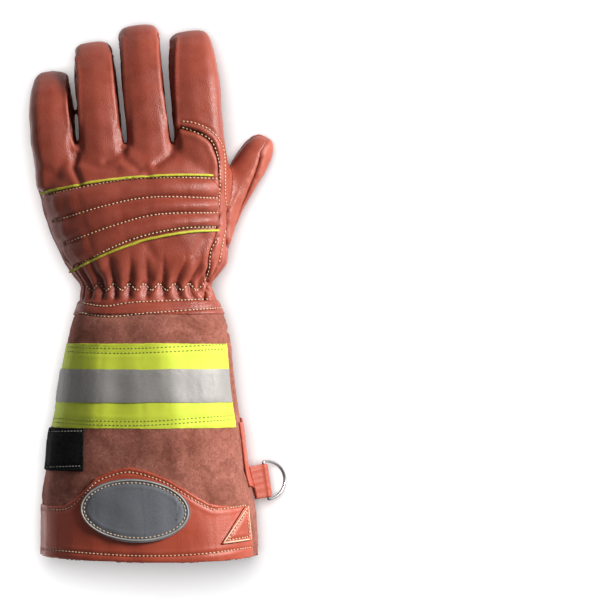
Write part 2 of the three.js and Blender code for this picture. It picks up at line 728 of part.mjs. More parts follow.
const strapEndLow = strapBottom - strapWidth * 0.1;
const closureStrap = layer(
  union([
    prism(strapOutline, -farOut, waistAtStrap),
    prism(
      [
        ...seamLine(strapEnd, strapEndLow, -0.9),
        { x: farOut, y: strapEndLow },
        { x: farOut, y: strapEnd },
      ],
      waistAtStrap - 1,
      farOut,
    ),
  ]),
  strapUnder,
  over(strapUnder, strapThick),
);

// Knuckle pad and its piping

const padLineY = (line, x) => {
  const apart = (line.apex * palmWidth - x) / (padReach * palmWidth);
  return (line.peak - line.sag * apart * apart) * palmLength;
};
const padLineAt = (v, x) => {
  const place = v * (padLines.length - 1);
  const i = Math.min(Math.floor(place), padLines.length - 2);
  return THREE.MathUtils.lerp(padLineY(padLines[i], x), padLineY(padLines[i + 1], x), place - i);
};
const seamPoints = scaled(backSeam, palmWidth, palmLength);
const padRight = seamPoints[5].x - 1.2;
const padEdge = 3.2; // how far inside the silhouette the pad ends on the little finger's side
const leftEdge = (y) => between(trunkRows, "y", y)("left") + padEdge;

// The trunk's skin over a point of the plan, on its upper side.
function backPoint(x, y, offset) {
  const row = between(trunkRows, "y", y);
  const half = (row("right") - row("left")) / 2;
  const middle = (row("right") + row("left")) / 2;
  const across = THREE.MathUtils.clamp((x - middle) / half, -1, 1);
  const turn = Math.acos(signedPower(across, 1 / 0.86));
  const base = trunkPoint(turn, y, 0);
  const near = trunkPoint(turn + 0.02, y, 0).sub(trunkPoint(turn - 0.02, y, 0));
  const along = trunkPoint(turn, y + 0.5, 0).sub(trunkPoint(turn, y - 0.5, 0));
  const normal = new THREE.Vector3().crossVectors(along, near).normalize();
  return base.addScaledVector(normal, normal.z < 0 ? -offset : offset);
}

const handSkin = handOuter(seamGap);
const knucklePad = sheet(12, 9, (u, v, upper) => {
  let x = padRight;
  let y = padLineAt(v, x);
  for (let i = 0; i < 4; i++) {
    x = THREE.MathUtils.lerp(leftEdge(y), padRight, u);
    y = padLineAt(v, x);
  }
  const channel = Math.abs(Math.sin(v * (padLines.length - 1) * Math.PI)) ** 0.6;
  const side = Math.min(1, Math.min(u, 1 - u) * 12);
  const crown = THREE.MathUtils.lerp(padSeamThick, padThick, channel * side);
  return backPoint(x, y, upper ? seamGap + crown : -seamGap);
}).subtract(handSkin);

function piping(line, apart) {
  const points = [];
  let start = -0.5 * palmWidth;
  for (let i = 0; i < 6; i++) start = leftEdge(padLineY(line, start)) - 0.5;
  for (let i = 0; i <= 16; i++) {
    const x = THREE.MathUtils.lerp(start, padRight, i / 16);
    points.push(backPoint(x, padLineY(line, x) + apart, seamGap + pipingRadius * 1.2));
  }
  const shape = new THREE.Shape();
  shape.absarc(0, 0, pipingRadius, 0, Math.PI * 2);
  const path = new THREE.CatmullRomCurve3(points);
  const how = { steps: 16, curveSegments: 3, bevelEnabled: false, extrudePath: path };
  const geometry = new THREE.ExtrudeGeometry(shape, how);
  return solid(geometry).subtract(handSkin);
}
const pipingApart = pipingRadius + seamGap + 0.1;

// Ring tab and ring

const tabY = -0.728 * cuffLength;
const tabLayer = over(strapUnder, strapThick + seamGap);
const tabRow = between(trunkRows, "y", tabY);
const ringBar = ringWire / 2 + barClearance;
const tabStart = new THREE.Vector3(tabRow("right") - 2, tabY, cuffWaist(tabY) - 3);

// The tab is a strap folded round the ring's bar, drawn from the side and extruded to its width.
const tabProfile = (() => {
  const outer = ringBar + tabThick;
  const reach = tabReach + 2;
  const shape = new THREE.Shape();
  shape.moveTo(-reach, -tabThick);
  shape.lineTo(-outer * 0.9, -outer * 0.86);
  shape.absarc(0, 0, outer, -2.2, 2.2, false);
  shape.lineTo(-reach, tabThick);
  const hole = new THREE.Path();
  hole.absarc(0, 0, ringBar, -2.2, 2.2, false);
  hole.lineTo(-ringBar * 2.2, 0);
  shape.holes.push(hole);
  return shape;
})();
const hinge = tabStart.clone().add(
  new THREE.Vector3(tabReach, 0, 0).applyEuler(new THREE.Euler(0, tabSlope, tabTurn, "ZYX")),
);

function tabGeometry() {
  const how = { depth: tabWidth, curveSegments: 7, bevelEnabled: false };
  const geometry = new THREE.ExtrudeGeometry(tabProfile, how);
  geometry.translate(0, 0, -tabWidth / 2);
  geometry.rotateX(Math.PI / 2);
  geometry.rotateY(tabSlope);
  geometry.rotateZ(tabTurn);
  geometry.translate(hinge.x, hinge.y, hinge.z);
  return geometry;
}
const ringTab = whole(solid(tabGeometry()).subtract(trunk(tabLayer, hemY, 0)));

// The ring rests with the middle of its arc on the surface that the glove lies on.
const ringHalf = (ringInside + ringWire) / 2;
const ringSlope = Math.asin(THREE.MathUtils.clamp((hinge.z - ringWire / 2) / ringDepth, 0, 0.95));

function ringGeometry() {
  const geometry = new THREE.TorusGeometry(1, 0.25, 6, 24);
  const position = geometry.getAttribute("position");
  const centre = (u) => {
    const across = Math.sin(u);
    if (Math.cos(u) >= -1e-6) {
      return new THREE.Vector3(Math.cos(u) * ringDepth, across * ringHalf, 0);
    }
    const round = THREE.MathUtils.euclideanModulo(u, 2 * Math.PI);
    const share = 1 - (Math.abs(round - Math.PI / 2) / Math.PI) * 2;
    return new THREE.Vector3(0, THREE.MathUtils.clamp(share, -1, 1) * ringHalf, 0);
  };
  for (let i = 0; i < position.count; i++) {
    const u = Math.atan2(position.getY(i), position.getX(i));
    const out = (Math.hypot(position.getX(i), position.getY(i)) - 1) / 0.25;
    const high = position.getZ(i) / 0.25;
    const tangent = centre(u + 0.02).sub(centre(u - 0.02)).normalize();
    const normal = new THREE.Vector3(tangent.y, -tangent.x, 0);
    const point = centre(u).addScaledVector(normal, (out * ringWire) / 2);
    position.setXYZ(i, point.x, point.y, (high * ringWire) / 2);
  }
  geometry.rotateY(ringSlope);
  geometry.rotateZ(tabTurn);
  geometry.translate(hinge.x, hinge.y, hinge.z);
  return geometry;
}

// Materials and scene graph

const material = (color, roughness, metalness = 0) =>
  new THREE.MeshStandardMaterial({ color, roughness, metalness });
const grainLeather = material(0xb4574a, 0.5);
const coralLeather = material(0xd06a52, 0.5);
const suede = material(0x9c5a4e, 0.95);
const limeFabric = material(0xc8e632, 0.6);
const silverFilm = material(0xa3a19e, 0.35, 0.2);
const greyFilm = material(0x7c828b, 0.4, 0.2);
const blackTape = material(0x141416, 0.95);
const steel = material(0x8c8f92, 0.25, 1);

const glove = new THREE.Group();
function add(name, made, finish) {
  const mesh = new THREE.Mesh(geometryOf(made), finish);
  mesh.name = name;
  glove.add(mesh);
}

add("back_panel", whole(backPanel), grainLeather);
add("palm_panel", whole(palmPanel), grainLeather);
fourchettes.forEach((f) => add(f.name, whole(sideShell.intersect(f.region(0))), grainLeather));
add("thumb_back", whole(thumbShell.intersect(thumbSplit(0))), grainLeather);
add("thumb_front", whole(thumbShell.subtract(thumbSplit(seamGap))), grainLeather);
add("knuckle_pad", whole(knucklePad), grainLeather);
add("piping_upper", whole(piping(padLines[0], pipingApart)), limeFabric);
add("piping_lower", whole(piping(padLines.at(-1), -pipingApart)), limeFabric);
add("wrist_band", whole(wristBand), grainLeather);
add("cuff_back", whole(cuffShell.intersect(cuffBackRegion(0))), suede);
add("cuff_palm", whole(cuffShell.subtract(cuffBackRegion(seamGap))), suede);
add("wrist_patch", wristPatch, grainLeather);
add("tape_lime", limeTape, limeFabric);
add("tape_silver", silverTape, silverFilm);
add("keeper_patch", keeperPatch, blackTape);
add("hem_panel", hemPanel, coralLeather);
add("oval_patch", ovalPatch, greyFilm);
add("corner_patch", trianglePatch, coralLeather);
add("strap_base", strapBase, coralLeather);
add("loop_tape", loopTape, blackTape);
add("closure_strap", closureStrap, coralLeather);
add("ring_tab", ringTab, coralLeather);
add("d_ring", solid(ringGeometry()), steel);

// The origin lies under the middle of the glove's box, on the surface that it lies on.
const box = new THREE.Box3().setFromObject(glove);
const centre = box.getCenter(new THREE.Vector3());
glove.position.set(-centre.x, -centre.y, -box.min.z);

export default glove;
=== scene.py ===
# %% [markdown]
# # A firefighter glove in leather, suede and reflective tape
# The solids of the glove are already made and packed. This lesson dresses them: it softens the
# leather, sews the seams, quilts the knuckle pad and gives each finish its own material. It
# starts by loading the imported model, whose nodes and bodies every new piece must follow.

# %% Load the frame
import math
import bmesh
import bpy
import numpy as np
from mathutils import Matrix, Vector, noise
from mathutils.bvhtree import BVHTree
from mathutils.geometry import interpolate_bezier
from mathutils.kdtree import KDTree


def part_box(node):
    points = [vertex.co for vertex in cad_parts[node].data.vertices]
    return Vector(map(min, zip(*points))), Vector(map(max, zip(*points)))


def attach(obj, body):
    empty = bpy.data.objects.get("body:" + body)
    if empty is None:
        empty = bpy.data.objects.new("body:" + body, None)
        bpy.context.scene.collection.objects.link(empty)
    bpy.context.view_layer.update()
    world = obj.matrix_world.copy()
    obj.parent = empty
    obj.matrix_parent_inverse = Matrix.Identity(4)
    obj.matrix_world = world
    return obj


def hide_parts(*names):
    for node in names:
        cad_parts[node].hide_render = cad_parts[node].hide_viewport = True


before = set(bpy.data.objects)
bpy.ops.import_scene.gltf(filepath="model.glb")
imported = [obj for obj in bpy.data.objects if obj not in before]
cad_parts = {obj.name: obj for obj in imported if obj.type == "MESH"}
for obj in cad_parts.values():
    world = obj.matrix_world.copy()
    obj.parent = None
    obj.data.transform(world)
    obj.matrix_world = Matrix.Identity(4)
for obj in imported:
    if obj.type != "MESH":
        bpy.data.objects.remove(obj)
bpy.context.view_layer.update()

MM = 0.001

# %% [markdown]
# ## The camera
# The photograph was taken from straight above with a long lens. A camera 2.5 m up with a lens of
# 234 mm gives the same flat, even view. It could be turned with a constraint, but a camera that
# looks straight down needs no turning at all.

# %% Camera
EYE = Vector((0.09089, -0.00568, 2.525))
FOCUS_HEIGHT = 0.025
PIXEL = 0.00064
camera_data = bpy.data.cameras.new("camera")
camera_data.sensor_width = 36
camera_data.lens = 36 * (EYE.z - FOCUS_HEIGHT) / (600 * PIXEL)
camera = bpy.data.objects.new("camera", camera_data)
camera.location = EYE
bpy.context.scene.collection.objects.link(camera)
bpy.context.scene.camera = camera
print("lens", round(camera_data.lens, 2), "mm")

# %% [markdown]
# ## Floor and light
# A studio table is a pale sheet under big soft lamps. The key light stands to the right, as the
# shading in the photograph shows, and a weak sky keeps the far side from going black. Product
# photographers light the backdrop by itself, so that it stays white: light linking does the same
# here, with a lamp overhead that lights only the floor and a key that leaves the floor out.

# %% Floor and light
KEY_WATTS = 33
BACKDROP_WATTS = 34


def material_named(name):
    made = bpy.data.materials.new(name)
    made.use_nodes = True
    shader = made.node_tree.nodes["Principled BSDF"]
    return made, made.node_tree.nodes, shader


floor_bm = bmesh.new()
bmesh.ops.create_grid(floor_bm, x_segments=1, y_segments=1, size=3.0)
floor_mesh = bpy.data.meshes.new("floor")
floor_bm.to_mesh(floor_mesh)
floor = bpy.data.objects.new("floor", floor_mesh)
floor_mesh.transform(Matrix.Translation((0, 0, -0.0004)))
bpy.context.scene.collection.objects.link(floor)
floor_paint, nodes, shader = material_named("pale_floor")
shader.inputs["Base Color"].default_value = (0.93, 0.93, 0.93, 1)
shader.inputs["Roughness"].default_value = 0.9
shader.inputs["Specular IOR Level"].default_value = 0.1
floor_mesh.materials.append(floor_paint)


def lamp(name, place, aim, size, power, colour):
    data = bpy.data.lights.new(name, "AREA")
    data.shape = "DISK"
    data.size = size
    data.energy = power
    data.color = colour
    lit = bpy.data.objects.new(name, data)
    lit.location = place
    lit.rotation_euler = (Vector(aim) - Vector(place)).to_track_quat("-Z", "Y").to_euler()
    bpy.context.scene.collection.objects.link(lit)
    return lit


key = lamp("key", (1.02, 0.42, 0.64), (0, 0, 0.03), 0.5, KEY_WATTS, (1.0, 0.975, 0.95))
overhead = lamp("backdrop", (0.0, 0.1, 1.6), (0, 0, 0), 1.3, BACKDROP_WATTS, (1.0, 1.0, 1.0))
for light, state in ((key, "EXCLUDE"), (overhead, "INCLUDE")):
    lit_by = bpy.data.collections.new(light.name + "_reaches")
    lit_by.objects.link(floor)
    lit_by.collection_objects[0].light_linking.link_state = state
    light.light_linking.receiver_collection = lit_by
world = bpy.data.worlds.new("studio")
world.use_nodes = True
world.node_tree.nodes["Background"].inputs["Color"].default_value = (0.97, 0.98, 1.0, 1)
world.node_tree.nodes["Background"].inputs["Strength"].default_value = 0.17
bpy.context.scene.world = world
bpy.context.scene.view_settings.view_transform = "Standard"
print("lamps", key.name, KEY_WATTS, "W and", overhead.name, BACKDROP_WATTS, "W")

# %% [markdown]
# ## One soft form under all the panels
# A real glove is flat leather that becomes round only where it is sewn and filled. The CAD panels
# are flat-faced shells that almost touch. A voxel remesh of all nine together closes the gaps and
# gives one even net, which can be smoothed without opening a seam. Subdividing each panel alone
# would be lighter, but their edges would shrink away from each other. Two gaps between fingers are
# as narrow as a voxel, so the walls beside them step back a little first, which keeps the gaps
# open along nearly all of their length.

# %% Remesh the nine panels as one
PANELS = ["back_panel", "palm_panel", "fourchette_little_ring", "fourchette_ring_middle",
          "fourchette_middle_index", "thumb_back", "thumb_front", "cuff_back", "cuff_palm"]
FORM_VOXEL = 1.05 * MM
SWELL = 0.38 * MM


def cad_copy(names):
    bm = bmesh.new()
    for name in names:
        bm.from_mesh(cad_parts[name].data)
    bmesh.ops.remove_doubles(bm, verts=bm.verts, dist=1e-6)
    return bm


def voxel_remesh(bm, voxel):
    mesh = bpy.data.meshes.new("before")
    bm.to_mesh(mesh)
    bm.free()
    holder = bpy.data.objects.new("before", mesh)
    bpy.context.scene.collection.objects.link(holder)
    remesh = holder.modifiers.new("voxels", "REMESH")
    remesh.mode = "VOXEL"
    remesh.voxel_size = voxel
    bpy.context.view_layer.update()
    evaluated = holder.evaluated_get(bpy.context.evaluated_depsgraph_get())
    made = bmesh.new()
    made.from_mesh(evaluated.to_mesh())
    evaluated.to_mesh_clear()
    bpy.data.objects.remove(holder)
    bpy.data.meshes.remove(mesh)
    return made


# Middle line of the two narrow gaps, as (y, x) in millimetres: little to ring, middle to index.
NARROW_GAPS = [
    ([93, 100, 110, 118, 126, 134], [-51.0, -51.3, -52.3, -52.9, -54.1, -55.3]),
    ([93, 100, 110, 118, 126, 134, 142], [9.9, 9.1, 7.8, 7.1, 6.3, 5.5, 4.8]),
]
HALF_GAP = 1.75 * MM
GAP_REACH = 8 * MM
GAP_START = 90 * MM
GAP_RAMP = 7 * MM
WALL_START = 85 * MM
WALL_REACH = 7 * MM
LONG_EDGE = 4 * MM


def off_gap(co, gap):
    return co.x - np.interp(co.y / MM, *gap) * MM


def is_long_wall(edge):
    if edge.calc_length() <= LONG_EDGE or min(v.co.y for v in edge.verts) <= WALL_START:
        return False
    return any(all(abs(off_gap(v.co, gap)) < WALL_REACH for v in edge.verts) for gap in NARROW_GAPS)


panels = cad_copy(PANELS)
long_walls = [e for e in panels.edges if is_long_wall(e)]
bmesh.ops.subdivide_edges(panels, edges=long_walls, cuts=5, use_grid_fill=True)
panels.normal_update()
swell = {v: v.normal * SWELL for v in panels.verts}
for v, step in swell.items():
    opened = min(max((v.co.y - GAP_START) / GAP_RAMP, 0), 1) * HALF_GAP
    for gap in NARROW_GAPS:
        off = off_gap(v.co, gap)
        if abs(off) < GAP_REACH:
            v.co.x += np.sign(off) * (np.hypot(off, opened) - abs(off)) * (1 - abs(off) / GAP_REACH)
    v.co += step
form = voxel_remesh(panels, FORM_VOXEL)
form.normal_update()
print("form has", len(form.faces), "faces;", len(long_walls), "long edges beside the gaps were cut")

# %% [markdown]
# The remeshed shell has an outside, an inside and a rim at the hem. Only the outside is worked
# on. With the rim's faces deleted, the outside is whatever is still joined to the highest point.

# %% Keep the outside of the form
HEM_END = min(v.co.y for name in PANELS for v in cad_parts[name].data.vertices)
RIM_DEPTH = 6 * MM
rim = [f for f in form.faces if f.normal.y < -0.45 and f.calc_center_median().y < HEM_END + RIM_DEPTH]
bmesh.ops.delete(form, geom=rim, context="FACES")
top = max(form.verts, key=lambda v: v.co.z)
outside = {top}
edge_of_fill = [top]
while edge_of_fill:
    v = edge_of_fill.pop()
    for e in v.link_edges:
        w = e.other_vert(v)
        if w not in outside:
            outside.add(w)
            edge_of_fill.append(w)
inner = [v for v in form.verts if v not in outside]
bmesh.ops.delete(form, geom=inner, context="VERTS")
form.verts.ensure_lookup_table()
form.faces.ensure_lookup_table()
print("outside has", len(form.faces), "faces,", len(inner), "inner vertices left out")

# %% [markdown]
# Each face of the form remembers which panel it came from, so that the leather can be cut into
# its real pieces again after it has been shaped. The nearest triangle of the CAD decides.

# %% Name the panel of each face
panel_points = []
panel_triangles = []
panel_owner = []
for index, name in enumerate(PANELS):
    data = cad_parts[name].data
    start = len(panel_points)
    panel_points += [v.co.copy() for v in data.vertices]
    panel_triangles += [[start + i for i in p.vertices] for p in data.polygons]
    panel_owner += [index] * len(data.polygons)
panel_tree = BVHTree.FromPolygons(panel_points, panel_triangles)
owner_layer = form.faces.layers.int.new("owner")
for f in form.faces:
    f[owner_layer] = panel_owner[panel_tree.find_nearest(f.calc_center_median())[2]]
changed = 1
while changed:
    changed = 0
    for f in form.faces:
        around = [g[owner_layer] for e in f.edges for g in e.link_faces if g is not f]
        for other in set(around):
            if other != f[owner_layer] and around.count(other) >= 3:
                f[owner_layer] = other
                changed += 1
                break
start_points = np.array([v.co for v in form.verts])
print("faces of each panel", np.bincount([f[owner_layer] for f in form.faces]))

# %% [markdown]
# ## Softening
# Smoothing rounds the facets of the CAD as filling rounds leather. The trunk of the glove has
# wide facets and takes more passes than the fingers. Near the hem the points may only move
# sideways, or the hem would creep up.

# %% Smooth the form
SHORT_PASSES = 14
LONG_PASSES = 70
HEM_DEPTH = 7 * MM
TRUNK_TOP = 62 * MM
TRUNK_SIDE = 42 * MM
hem_zone = [v for v in form.verts if v.co.y < HEM_END + HEM_DEPTH]
rest_zone = [v for v in form.verts if v.co.y >= HEM_END + HEM_DEPTH]


def inner_thumb(p):
    return p.x >= 40 * MM and p.y > 40 * MM and p.z > 12 * MM and p.x - 0.62 * p.y < 10 * MM


def smooth_once(bm, verts, along_y=True):
    bmesh.ops.smooth_vert(bm, verts=verts, factor=0.5, use_axis_x=True, use_axis_y=along_y, use_axis_z=True)


# The thumb's back reaches round its inner side without a step, and the strips between the
# fingers are smoothed as long as the trunk.
form.normal_update()
BACK, FRONT = PANELS.index("thumb_back"), PANELS.index("thumb_front")
for f in form.faces:
    if f[owner_layer] == FRONT and inner_thumb(f.calc_center_median()) and f.normal.z > -0.1:
        f[owner_layer] = BACK
STRIPS = [i for i, name in enumerate(PANELS) if name.startswith("fourchette")]
trunk_zone = [v for v in rest_zone if (v.co.y < TRUNK_TOP and v.co.x < TRUNK_SIDE) or inner_thumb(v.co)
              or all(f[owner_layer] in STRIPS for f in v.link_faces)]
for step in range(LONG_PASSES):
    smooth_once(form, rest_zone if step < SHORT_PASSES else trunk_zone)
    smooth_once(form, hem_zone, along_y=False)
form.normal_update()
soft = np.array([v.co for v in form.verts])
normals = np.array([v.normal for v in form.verts])
print("smoothing moved points by up to", round(float(np.abs(soft - start_points).max() * 1000), 2), "mm")

# %% [markdown]
# ## Gathers, folds and creases
# Elastic is sewn across the wrist, so the leather there stands in small pleats that fan out over
# the hand. Pleats could come from a cloth simulation, but a formula puts them exactly where the
# stitches draw them in. Each height below is in millimetres along the surface's normal.

# %% Fold helpers
def plan(px, py):
    return Vector((EYE.x + (px - 300) * PIXEL, EYE.y - (py - 300) * PIXEL, FOCUS_HEIGHT))


def fade(value, low, high):
    share = np.clip((value - low) / (high - low), 0, 1)
    return share * share * (3 - 2 * share)


def noise_at(points, size, seed):
    shift = Vector((seed * 7.3, seed * 3.1, seed * 5.7))
    return np.array([noise.noise(Vector(p) / size + shift) for p in points])


def distance_to_line(points, line):
    best = np.full(len(points), 1e9)
    for a, b in zip(line[:-1], line[1:]):
        a2 = np.array(a)[:2]
        b2 = np.array(b)[:2]
        way = b2 - a2
        along = np.clip(((points[:, :2] - a2) @ way) / max(float(way @ way), 1e-12), 0, 1)
        near = a2 + along[:, None] * way
        best = np.minimum(best, np.hypot(*(points[:, :2] - near).T))
    return best


# %% Pleats at the wrist
PLEATS_ROUND = 27
PLEAT_HEIGHT = 2.7
x, y, z = soft.T
turn = np.arctan2((z - 0.028) / 0.018, (x + 0.009) / 0.040)
wobble = noise_at(soft, 0.018, 1)
phase = PLEATS_ROUND * turn + 1.5 * wobble
pleat = np.abs(np.cos(phase / 2)) - 0.64
# Each pleat has its own number, and a random value of that number says how far it runs up.
pleat_number = np.stack([np.round(phase / (2 * np.pi)), turn * 0, turn * 0], 1)
long_pleat = np.clip(0.75 + 0.8 * noise_at(pleat_number, 0.7, 2), 0.3, 1.2)
reach_up = 0.012 + 0.017 * long_pleat
upper_end = 1 - fade(y, 0.004, 0.004 + reach_up)
lower_end = fade(y, -0.0085, -0.001)
pleats = PLEAT_HEIGHT * upper_end * lower_end * pleat
print("pleats from", round(float(pleats.min()), 2), "to", round(float(pleats.max()), 2), "mm")

# %% Ridge, dents and creases
ridge_line = [plan(158, 318), plan(165, 360), plan(178, 430), plan(196, 500), plan(206, 560)]
top_side = fade(normals[:, 2], 0.1, 0.6)
ridge_far = np.hypot(distance_to_line(soft, ridge_line), 0.0045)
ridge = 3.5 * np.exp(-ridge_far / 0.017) * top_side * (y < -0.006)
ridge *= 1 - fade(y, -0.03, -0.006)
soft_dents = 0.55 * noise_at(soft, 0.030, 3) + 0.25 * noise_at(soft, 0.012, 4)
cuff_waves = 0.7 * noise_at(soft * np.array([1.6, 0.55, 1.6]), 0.022, 5) * (1 - fade(y, -0.03, -0.006))
creases = np.zeros(len(soft))
# Each crease is a line in the photograph's pixels, then its depth and width in millimetres.
CREASES = [
    ([(77, 155), (75, 168), (82, 184)], 1.9, 2.4),
    ([(80, 160), (100, 168), (118, 170)], 1.1, 3.4),
    ([(124, 147), (126, 160), (140, 170)], 1.5, 2.6),
    ([(124, 150), (118, 158), (108, 162)], 1.0, 2.6),
    ([(174, 146), (171, 156), (158, 165)], 1.5, 2.6),
    ([(146, 168), (150, 178)], 0.9, 2.6),
    ([(40, 168), (56, 176), (70, 186)], 0.7, 4.0),
    ([(68, 214), (80, 222)], 0.6, 4.0),
    ([(150, 248), (158, 262), (154, 280)], 0.9, 3.4),
    ([(205, 240), (196, 256), (200, 276)], 0.9, 3.2),
    ([(112, 262), (104, 274), (100, 286)], 0.8, 3.0),
]
for line, deep, wide in CREASES:
    far = distance_to_line(soft, [plan(*p) for p in line])
    creases -= deep * np.exp(-(far / (wide * MM)) ** 2) * top_side

# Each finger's back is sewn to its side strips by a seam that stands up as a soft ridge. The
# number after each line says on which side of it the finger's wall drops: 1 to the right.
FINGER_RIDGES = [
    ([(67, 74), (66, 88), (68, 110), (72, 135), (76, 156)], 1),
    ([(76, 58), (79, 75), (80, 100), (81, 125), (78, 150)], -1),
    ([(110, 50), (112, 72), (115, 100), (119, 125), (124, 147)], 1),
    ([(122, 38), (124, 60), (126, 90), (128, 120), (125, 146)], -1),
    ([(156, 30), (158, 60), (161, 90), (166, 120), (173, 146)], 1),
    ([(177, 38), (176, 60), (176.5, 90), (178, 120), (176, 146)], -1),
]
# Each finger's dropped wall is also marked here. Later it is painted darker, as painted shade from the
# neighbouring finger.
sides = np.zeros(len(soft))
for line, towards in FINGER_RIDGES:
    line = [plan(*p) for p in line]
    tip, root = line[0], line[-1]
    far = distance_to_line(soft, line)
    edge = np.interp(y, [p.y for p in reversed(line)], [p.x for p in reversed(line)])
    span = fade(y, root.y - 0.002, root.y + 0.014) * (1 - fade(y, tip.y - 0.004, tip.y + 0.003))
    beyond = np.clip((x - edge) * towards, 0, 0.0035) / 0.0035
    near = (1 - fade(np.abs(x - edge), 0.0045, 0.0075)) * span
    upward = fade(normals[:, 2], 0.1, 0.5)
    creases += (0.75 * np.exp(-((far / 0.0013) ** 2)) - 1.3 * fade(beyond, 0, 0.7) * near) * upward
    sides = np.maximum(sides, fade(beyond, 0.1, 0.6) * near)
height = pleats + ridge + soft_dents + cuff_waves + creases - 0.1
shaped = soft + normals * (height * MM)[:, None]
shaped[:, 2] = np.maximum(shaped[:, 2], 0.0003)
print("folds reach", round(float(height.min()), 2), "to", round(float(height.max()), 2), "mm")

# %% [markdown]
# Everything that is sewn onto the panels has to follow the same folds. This helper finds the
# nearest points of the form before it was shaped, and moves a point of a patch as they moved.

# %% How the form moved
form_tree = KDTree(len(start_points))
for i, p in enumerate(start_points):
    form_tree.insert(p, i)
form_tree.balance()
moved = shaped - start_points


def carried(points):
    out = np.empty_like(points)
    for i, p in enumerate(points):
        near = form_tree.find_n(p, 4)
        weights = np.array([1 / (d + 2e-4) for _, _, d in near])
        step = np.array([moved[j] for _, j, _ in near])
        out[i] = p + (weights[:, None] * step).sum(0) / weights.sum()
    return out


print("the form moved by up to", round(float(np.abs(moved).max() / MM), 2), "mm")

# %% [markdown]
# ## Seams
# Two panels are sewn inside out and turned, so their edges roll down into a narrow valley with a
# small swell on each side. Where faces of different panels meet, the valley is pressed in. First
# the stepped border that the voxels left is drawn into a smooth line.

# %% Press the seams
seam_neighbours = {}
for e in form.edges:
    if len(e.link_faces) == 2 and e.link_faces[0][owner_layer] != e.link_faces[1][owner_layer]:
        a, b = e.verts[0].index, e.verts[1].index
        seam_neighbours.setdefault(a, []).append(b)
        seam_neighbours.setdefault(b, []).append(a)
for step in range(10):
    before = {i: shaped[i].copy() for i in seam_neighbours}
    for i, near in seam_neighbours.items():
        if len(near) == 2:
            shaped[i] = 0.5 * before[i] + 0.25 * (before[near[0]] + before[near[1]])
seam_tree = KDTree(len(seam_neighbours))
for i in seam_neighbours:
    seam_tree.insert(shaped[i], i)
seam_tree.balance()
seam_far = np.array([seam_tree.find(p)[2] for p in shaped])
pucker = noise_at(shaped, 0.0042, 6)
valley = np.exp(-((seam_far / 0.0011) ** 2))
rolled_edge = np.exp(-(((seam_far - 0.0032) / 0.0018) ** 2))
seam_press = -1.15 * valley + 0.4 * rolled_edge
seam_press += 0.35 * pucker * np.exp(-((seam_far / 0.005) ** 2))
on_cuff_joint = np.exp(-(((y + 0.0103) / 0.004) ** 2))
seam_press *= 1 - on_cuff_joint
thumb_left = (x > 0.040) & (y > 0.048) & (x - 0.62 * y < 0.012) & (z > 0.012)
seam_press *= np.where(thumb_left, 0.1, 1.0)
final = shaped + normals * (seam_press * MM)[:, None]
final[:, 2] = np.maximum(final[:, 2], 0.0002)
for v, p in zip(form.verts, final):
    v.co = p
# The attribute made here keeps how high each point stands, with painted light and shade mixed in. The masks
# made from it later paint high places pale and low places dark.
relief_and_shading_layer = form.verts.layers.float.new("relief")
# Painted light: the thumb and index side towards the key lamp stands higher here, so it comes out paler.
# Painted shade: a round patch on the left of the cuff stands lower, so it comes out darker.
painted_light_and_shade = -0.2 * fade(x - 0.1 * y, 0.018, 0.052) * fade(y, 0.0, 0.03)
painted_light_and_shade += 0.22 * np.exp(-((np.hypot(x + 0.036, (y + 0.026) * 1.6) / 0.030) ** 2)) * top_side
# Seam valleys, pleat valleys, creases and the finger walls that drop away count as low here. So they are
# painted darker, partly as dirt and partly as painted shade where shade falls in them.
standing_and_shading = 0.5 - painted_light_and_shade + 0.32 * seam_press + 0.23 * pleats + 0.12 * creases - 0.25 * sides
for v, value in zip(form.verts, np.clip(standing_and_shading, 0, 1)):
    v[relief_and_shading_layer] = value
print(len(seam_neighbours), "seam points")

# %% [markdown]
# ## Shared surface effects
# Leather grain, suede nap, woven tape and glass-bead film all repeat over several pieces, so each
# is a node group with named inputs and outputs. A group only gives out numbers and masks. The
# shader itself stays in each material, where its fixed values are easy to find and to change.

# %% Node group helper
def new_group(name, inputs, outputs):
    group = bpy.data.node_groups.new(name, "ShaderNodeTree")
    for label, kind, value in inputs:
        socket = group.interface.new_socket(name=label, in_out="INPUT", socket_type=kind)
        if value is not None:
            socket.default_value = value
    for label in outputs:
        group.interface.new_socket(name=label, in_out="OUTPUT", socket_type="NodeSocketFloat")
    return group, group.nodes.new("NodeGroupInput"), group.nodes.new("NodeGroupOutput")


def noise_node(tree, vector, scale, detail, rough=0.5, distortion=0.0):
    node = tree.nodes.new("ShaderNodeTexNoise")
    node.inputs["Scale"].default_value = scale
    node.inputs["Detail"].default_value = detail
    node.inputs["Roughness"].default_value = rough
    node.inputs["Distortion"].default_value = distortion
    tree.links.new(vector, node.inputs["Vector"])
    return node.outputs["Fac"]


def maths(tree, how, a, b=None):
    node = tree.nodes.new("ShaderNodeMath")
    node.operation = how
    for socket, value in zip(node.inputs, (a, b)):
        if isinstance(value, (int, float)):
            socket.default_value = value
        elif value is not None:
            tree.links.new(value, socket)
    return node.outputs[0]


def spread(tree, value, low, high, to_low=0.0, to_high=1.0):
    node = tree.nodes.new("ShaderNodeMapRange")
    tree.links.new(value, node.inputs["Value"])
    for label, number in zip(("From Min", "From Max", "To Min", "To Max"), (low, high, to_low, to_high)):
        node.inputs[label].default_value = number
    return node.outputs["Result"]


# %% [markdown]
# Hide grain: small rounded cells with fine wrinkles between them, and two sizes of cloudiness in
# the colour. Voronoi gives the cells. The scale is in cells to the metre, so a cell is about a
# millimetre across, as on cowhide.

